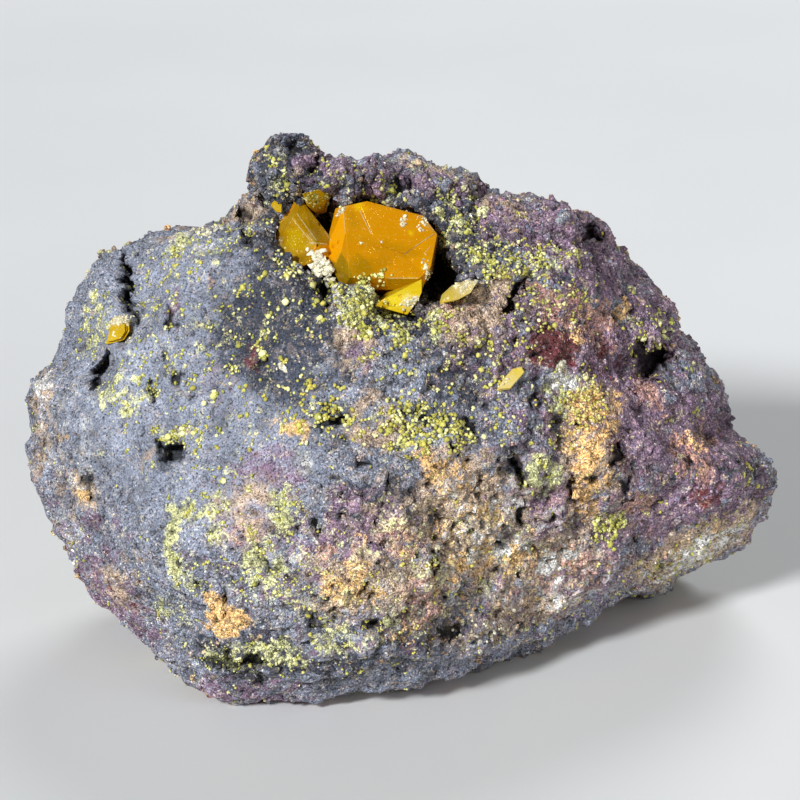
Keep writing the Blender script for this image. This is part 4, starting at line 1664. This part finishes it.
def scattered_bits(name, groups, tree, material, slot, rng):
    """Small pale angular bits set in groups on a surface."""
    centres, sizes = [], []
    for group in groups:
        turn = Matrix.Rotation(math.radians(group.turn), 2)
        for _ in range(group.count):
            spread = turn @ Vector(rng.normal(0.0, 0.5, 2) * (group.half_u, group.half_v))
            point, normal = front_hit(tree, group.u + spread.x, group.v + spread.y)
            if point is None:
                continue
            size = group.size * MM * math.exp(rng.normal(0.0, BIT_VARIETY))
            centres.append(point + normal * size * BIT_LIFT)
            sizes.append(size * rng.uniform(*BIT_ASPECTS, 3))
    centres, sizes = np.array(centres), np.array(sizes)
    tone = rng.uniform(0.0, 1.0, len(centres))
    turns = random_turns(len(centres), rng)
    shapes = grain_shapes(SHAPES, BIT_UNEVENNESS, rng)
    mesh, _, _ = joined_copies(name, shapes, centres, sizes, turns, tone=tone)
    return show(name, mesh, material, slot)


def growth_line(name, line, crystals):
    """A thin ridge along a crystal's face."""
    curve = bpy.data.curves.new(name, "CURVE")
    curve.dimensions = "3D"
    curve.bevel_depth = 0.5 * line.width * MM
    curve.bevel_resolution = 1
    curve.use_fill_caps = True
    places = []
    for step in range(LINE_STEPS + 1):
        u, v = (start + (end - start) * step / LINE_STEPS for start, end in zip(line.start, line.end))
        point, normal = front_hit(crystals, u, v)
        if point is not None:
            places.append(point - normal * LINE_SUNK * line.width * MM)
    spline = curve.splines.new("POLY")
    spline.points.add(len(places) - 1)
    for spline_point, point in zip(spline.points, places):
        spline_point.co = (*point, 1.0)
    return curve


class SPECIMEN_OT_crystal_marks(bpy.types.Operator):
    """Draws the pale growth lines on the large crystals, and sets broken bits along their edges"""

    bl_idname = "specimen.crystal_marks"
    bl_label = "Growth Lines and Chips"

    def execute(self, context):
        settings = context.scene.specimen.wulfenite
        rng = np.random.default_rng(settings.seed + 2)
        crystals = front_tree("main_block", "upper_plate", "left_crystal", "wedge")
        pale = pale_material("wulfenite_fracture", settings.fracture, FRACTURE_ROUGHNESS)
        for index, line in enumerate(GROWTH_LINES, 1):
            name = f"growth_line_{index}"
            show(name, growth_line(name, line, crystals), pale, "wulfenite")
        chips = pale_material("wulfenite_chips", settings.chips, CHIP_ROUGHNESS)
        scattered_bits("chips", CHIPS, crystals, chips, "wulfenite", rng)
        blades = front_tree("gossan", *(name + "_crystal" for name in SMALL_CRYSTALS))
        scattered_bits("blade_chips", BLADE_CHIPS, blades, chips, "wulfenite", rng)
        return {"FINISHED"}


def lumpy_crust(name, lumps, material, rng):
    """A crust of angular grains: a few for each of its lumps, grown into one another."""
    lumps = np.repeat(np.array(lumps), GRAINS_PER_LUMP, axis=0)
    width = lumps[:, 3:4] * MM
    centres = np.array([place(*lump[:3]) for lump in lumps])
    centres += rng.normal(0.0, LUMP_SPREAD, (len(lumps), 3)) * LUMP_FLATNESS * width
    sizes = width * rng.uniform(*LUMP_ASPECTS, (len(lumps), 3))
    turns = random_turns(len(lumps), rng)
    shapes = grain_shapes(KNOB_SHAPES, BIT_UNEVENNESS, rng)
    mesh, _, _ = joined_copies(name, shapes, centres, sizes, turns, tone=lumps[:, 4])
    return show(name, mesh, material, "gossan")


class SPECIMEN_OT_druse(bpy.types.Operator):
    """Sets the cream druse between the crystals and elsewhere on the rock"""

    bl_idname = "specimen.druse"
    bl_label = "Cream Druse"

    def execute(self, context):
        settings = context.scene.specimen.druse
        rng = np.random.default_rng(settings.seed)
        cream = pale_material("cream_druse", settings.cream, DRUSE_ROUGHNESS)
        lumpy_crust("cream_crust", CREAM_LUMPS, cream, rng)
        rock = front_tree("gossan", "main_block", "left_crystal", "cream_crust")
        scattered_bits("cream_druse", DRUSE, rock, cream, "gossan", rng)
        return {"FINISHED"}


# Mimetite


def nearest_on(tree, places):
    """The nearest point of a surface to each place, and its normal."""
    found = [tree.find_nearest(place)[:2] for place in places]
    return [np.array([pair[side] for pair in found]).reshape(-1, 3) for side in (0, 1)]


def grown_over(group, crystals, rng):
    """Random places of a group on the crystals' edges, and the normals there."""
    spread = (0.5 * group.half_u, 0.5 * group.half_v)
    hits = [front_hit(crystals, u, v) for u, v in rng.normal((group.u, group.v), spread, (group.count, 2))]
    return [np.array([hit[side] for hit in hits if hit[0] is not None]) for side in (0, 1)]


def balls_on_crusts(tree, rng):
    """Places on the crusts, each with its outward direction, diameter and warmth, group by group."""
    for node, crust in CRUSTS.items():
        points, corners, normals, areas = surface_arrays(frame["nodes"][node].data)
        shown = areas * crust.per_mm2 * (normals @ np.array(OUTWARDS) > CRUST_FACING)
        upper, lower = CRUST_SHARES
        places, chosen = random_places(points, corners, shown * upper, rng)
        yield places - normals[chosen] * (CRUST_DEPTH * MM), normals[chosen], crust.diameter, crust.warmth
        places, _ = random_places(points, corners, shown * lower, rng)
        yield *nearest_on(tree, places), crust.diameter, crust.warmth


def balls_on_rock(rock, tree, rng):
    """The same for the swarms in front, the balls on the crystals and those at the back."""
    points, corners, normals, areas = rock
    centres = points[corners].mean(axis=1)
    uvw = face_points(centres)
    facing = normals @ np.array(OUTWARDS)
    clumps = patchy(uvw, *SWARM_CLUMPS)
    u, v = bent_places(uvw, *SWARM_WANDER)
    in_front = (facing > SWARM_FACING) * (uvw[:, 2] > LOWEST_SWARM)
    for swarm in SWARMS:
        density = SWARM_SHARE * swarm.per_mm2 * soft_patch(swarm, u, v, *SWARM_EDGE) * clumps * in_front
        places, chosen = random_places(points, corners, areas * density, rng)
        yield places, normals[chosen], swarm.diameter, swarm.warmth
        parents = np.repeat(np.arange(len(places)), rng.poisson(NEIGHBOURS, len(places)))
        reach = NEIGHBOUR_DISTANCE * swarm.diameter * MM
        beside = nearest_on(tree, places[parents] + rng.normal(0.0, reach, (len(parents), 3)))
        yield *beside, NEIGHBOUR_WIDTH * swarm.diameter, swarm.warmth
    crystals = front_tree("gossan", *OVERGROWN)
    for group in OVERGROWTH:
        yield *grown_over(group, crystals, rng), group.size, OVERGROWTH_WARMTH
    start, edge = BACK_EDGE
    hidden = smooth((start - facing) / edge) * (centres[:, 2] > BACK_FOOT * MM)
    patches = patchy(uvw, *BACK_PATCHES) / BACK_PATCHES[-1]
    expected = areas * hidden * patches * clumps * BACK_SWARM_DENSITY
    places, chosen = random_places(points, corners, expected, rng)
    yield places, normals[chosen], BACK_BALL_DIAMETER, BACK_BALL_WARMTH


class SPECIMEN_OT_mimetite(bpy.types.Operator):
    """Sprinkles the rock with mimetite balls, densest where they have grown into crusts"""

    bl_idname = "specimen.mimetite"
    bl_label = "Mimetite"

    def execute(self, context):
        settings = context.scene.specimen.mimetite
        rng = np.random.default_rng(settings.seed)
        rock = surface_arrays(bpy.data.objects["gossan"].data)
        tree = front_tree("gossan")
        found = []
        for groups in (balls_on_crusts(tree, rng), balls_on_rock(rock, tree, rng)):
            for places, up, diameter, warmth in groups:
                width = BALL_WIDTH * diameter * np.exp(rng.normal(0.0, BALL_VARIETY, len(places)))
                warmths = np.clip(rng.normal(warmth, WARMTH_VARIETY, len(places)), 0.0, 1.0)
                found.append((places, up, width, warmths))
        places, up, width, warmth = (np.concatenate(arrays) for arrays in zip(*found))
        width = np.clip(width, SMALLEST_BALL, LARGEST_BALL) * MM
        places = places + up * (BALL_LIFT * width)[:, None]
        kept = apart(places, width, BALL_OVERLAP)
        kept = kept[places[kept, 2] > BALL_FOOT * width[kept]]
        places, up, width, warmth = places[kept], up[kept], width[kept], warmth[kept]
        material = mimetite_material(settings)
        single = rng.uniform(0.0, 1.0, len(places)) < SINGLE_SHARE
        large = width >= BIG_BALL * MM
        for name, chosen, shapes in (
            ("mimetite_large_balls", large & single, ball_shapes(SHAPES, BALL_UNEVENNESS, rng)),
            ("mimetite_bunches", large & ~single, bunch_shapes(BUNCH_SHAPES, rng)),
            ("mimetite_small_balls", ~large, grain_shapes(SHAPES, SMALL_BALL_UNEVENNESS, rng)),
        ):
            count = int(chosen.sum())
            sizes = width[chosen, None] * rng.uniform(*BALL_ASPECTS, (count, 3)) * (1.0, 1.0, BALL_FLATNESS)
            values = {"tone": rng.uniform(0.0, 1.0, count), "warmth": warmth[chosen]}
            turns = standing_turns(up[chosen], rng)
            mesh, owners, offsets = joined_copies(name, shapes, places[chosen], sizes, turns, **values)
            lift = np.einsum("ij,ij->i", offsets, up[chosen][owners]) / width[chosen][owners]
            set_attribute(mesh, "rise", np.clip(lift + 0.5, 0.0, 1.0))
            mesh.shade_smooth()
            show(name, mesh, material, "mimetite", *CRUSTS)
        return {"FINISHED"}


# Stage


# Lights, in degrees: how wide each looks, its azimuth (0 in front, -90 on the left) and its elevation.
KEY_PLACE = (9.0, -34.0, 31.0)
FILL_PLACE = (40.0, 44.0, 18.0)
BACK_PLACE = (30.0, 165.0, 40.0)
SURROUND = (0.97, 0.98, 1.0)
FLOOR_RADIUS, NEAREST_SEEN = 12.0, 0.01  # in metres
PAPER_SCALE, PAPER_SHADE = 9.0, (0.3, 0.7, 0.97, 1.03)


def add_light(name, colour, power, width, azimuth, elevation):
    """A soft far light."""
    light = bpy.data.lights.new(name, "SUN")
    light.angle = math.radians(width)
    light.energy = power
    light.color = colour
    turn, rise = math.radians(azimuth), math.radians(elevation)
    towards = Vector((math.sin(turn) * math.cos(rise), -math.cos(turn) * math.cos(rise), math.sin(rise)))
    obj = bpy.data.objects.new(name, light)
    obj.location = towards
    obj.rotation_euler = towards.to_track_quat("Z", "Y").to_euler()
    bpy.context.scene.collection.objects.link(obj)


class SPECIMEN_OT_stage(bpy.types.Operator):
    """Sets up the pale floor, the soft lights and the camera"""

    bl_idname = "specimen.stage"
    bl_label = "Stage"

    def execute(self, context):
        settings = context.scene.specimen.stage
        bm = bmesh.new()
        bmesh.ops.create_circle(bm, cap_ends=True, segments=96, radius=FLOOR_RADIUS)
        floor = bpy.data.objects.new("floor", new_mesh("floor", bm))
        context.scene.collection.objects.link(floor)
        material, tree, shader = new_material("floor", settings.floor, FLOOR_ROUGHNESS)
        paper = texture(tree, "Noise", PAPER_SCALE, object_coordinates(tree), Detail=3.0)["Fac"]
        shade = threshold(tree, paper, *PAPER_SHADE)
        feed(tree, shader, Base_Color=shaded(tree, tuple(settings.floor), shade))
        floor.data.materials.append(material)

        add_light("key_light", settings.light, settings.key_power, *KEY_PLACE)
        add_light("fill_light", settings.light, settings.fill_power, *FILL_PLACE)
        add_light("back_light", settings.light, settings.back_power, *BACK_PLACE)
        world = bpy.data.worlds.new("even_light")
        world.use_nodes = True
        tree = world.node_tree
        seen = tree.nodes.new("ShaderNodeLightPath").outputs["Is Camera Ray"]
        strength = scaled(tree, seen, settings.sky - settings.air, settings.air)
        background = tree.nodes["Background"]
        background.inputs["Color"].default_value = (*SURROUND, 1.0)
        tree.links.new(strength, background.inputs["Strength"])
        context.scene.world = world

        camera = bpy.data.cameras.new("camera")
        camera.lens = settings.lens
        camera.clip_start = NEAREST_SEEN
        holder = bpy.data.objects.new("camera", camera)
        holder.location = place(0.0, CAMERA_V, settings.distance / MM)
        holder.rotation_euler = Euler((math.radians(90.0) - LEAN, 0.0, 0.0))
        context.scene.collection.objects.link(holder)
        context.scene.camera = holder
        context.scene.view_settings.view_transform = "Standard"
        return {"FINISHED"}


class SPECIMEN_PT_sidebar(bpy.types.Panel):
    """Lists what the specimen is made of"""

    bl_idname = "SPECIMEN_PT_sidebar"
    bl_label = "Wulfenite with Mimetite"
    bl_space_type = "VIEW_3D"
    bl_region_type = "UI"
    bl_category = "Specimen"

    def draw(self, context):
        for step in STEPS:
            self.layout.operator(step.bl_idname)
        specimen = context.scene.specimen
        for piece in SpecimenSettings.__annotations__:
            box = self.layout.box()
            group = getattr(specimen, piece)
            for name in group.bl_rna.properties.keys():
                if name not in ("rna_type", "name"):
                    box.prop(group, name)


SETTINGS = (
    RockSettings,
    GrainSettings,
    WulfeniteSettings,
    DruseSettings,
    MimetiteSettings,
    StageSettings,
    SpecimenSettings,
)
STEPS = (
    SPECIMEN_OT_gossan,
    SPECIMEN_OT_grains,
    SPECIMEN_OT_large_wulfenite,
    SPECIMEN_OT_small_wulfenite,
    SPECIMEN_OT_crystal_marks,
    SPECIMEN_OT_druse,
    SPECIMEN_OT_mimetite,
    SPECIMEN_OT_stage,
)


def register():
    for cls in (*SETTINGS, *STEPS, SPECIMEN_PT_sidebar):
        bpy.utils.register_class(cls)
    bpy.types.Scene.specimen = PointerProperty(type=SpecimenSettings)


def unregister():
    del bpy.types.Scene.specimen
    for cls in reversed((*SETTINGS, *STEPS, SPECIMEN_PT_sidebar)):
        bpy.utils.unregister_class(cls)


def main():
    register()
    for step in STEPS:
        group, name = step.bl_idname.split(".")
        getattr(getattr(bpy.ops, group), name)()
    bpy.context.view_layer.update()


if __name__ == "__main__":
    main()
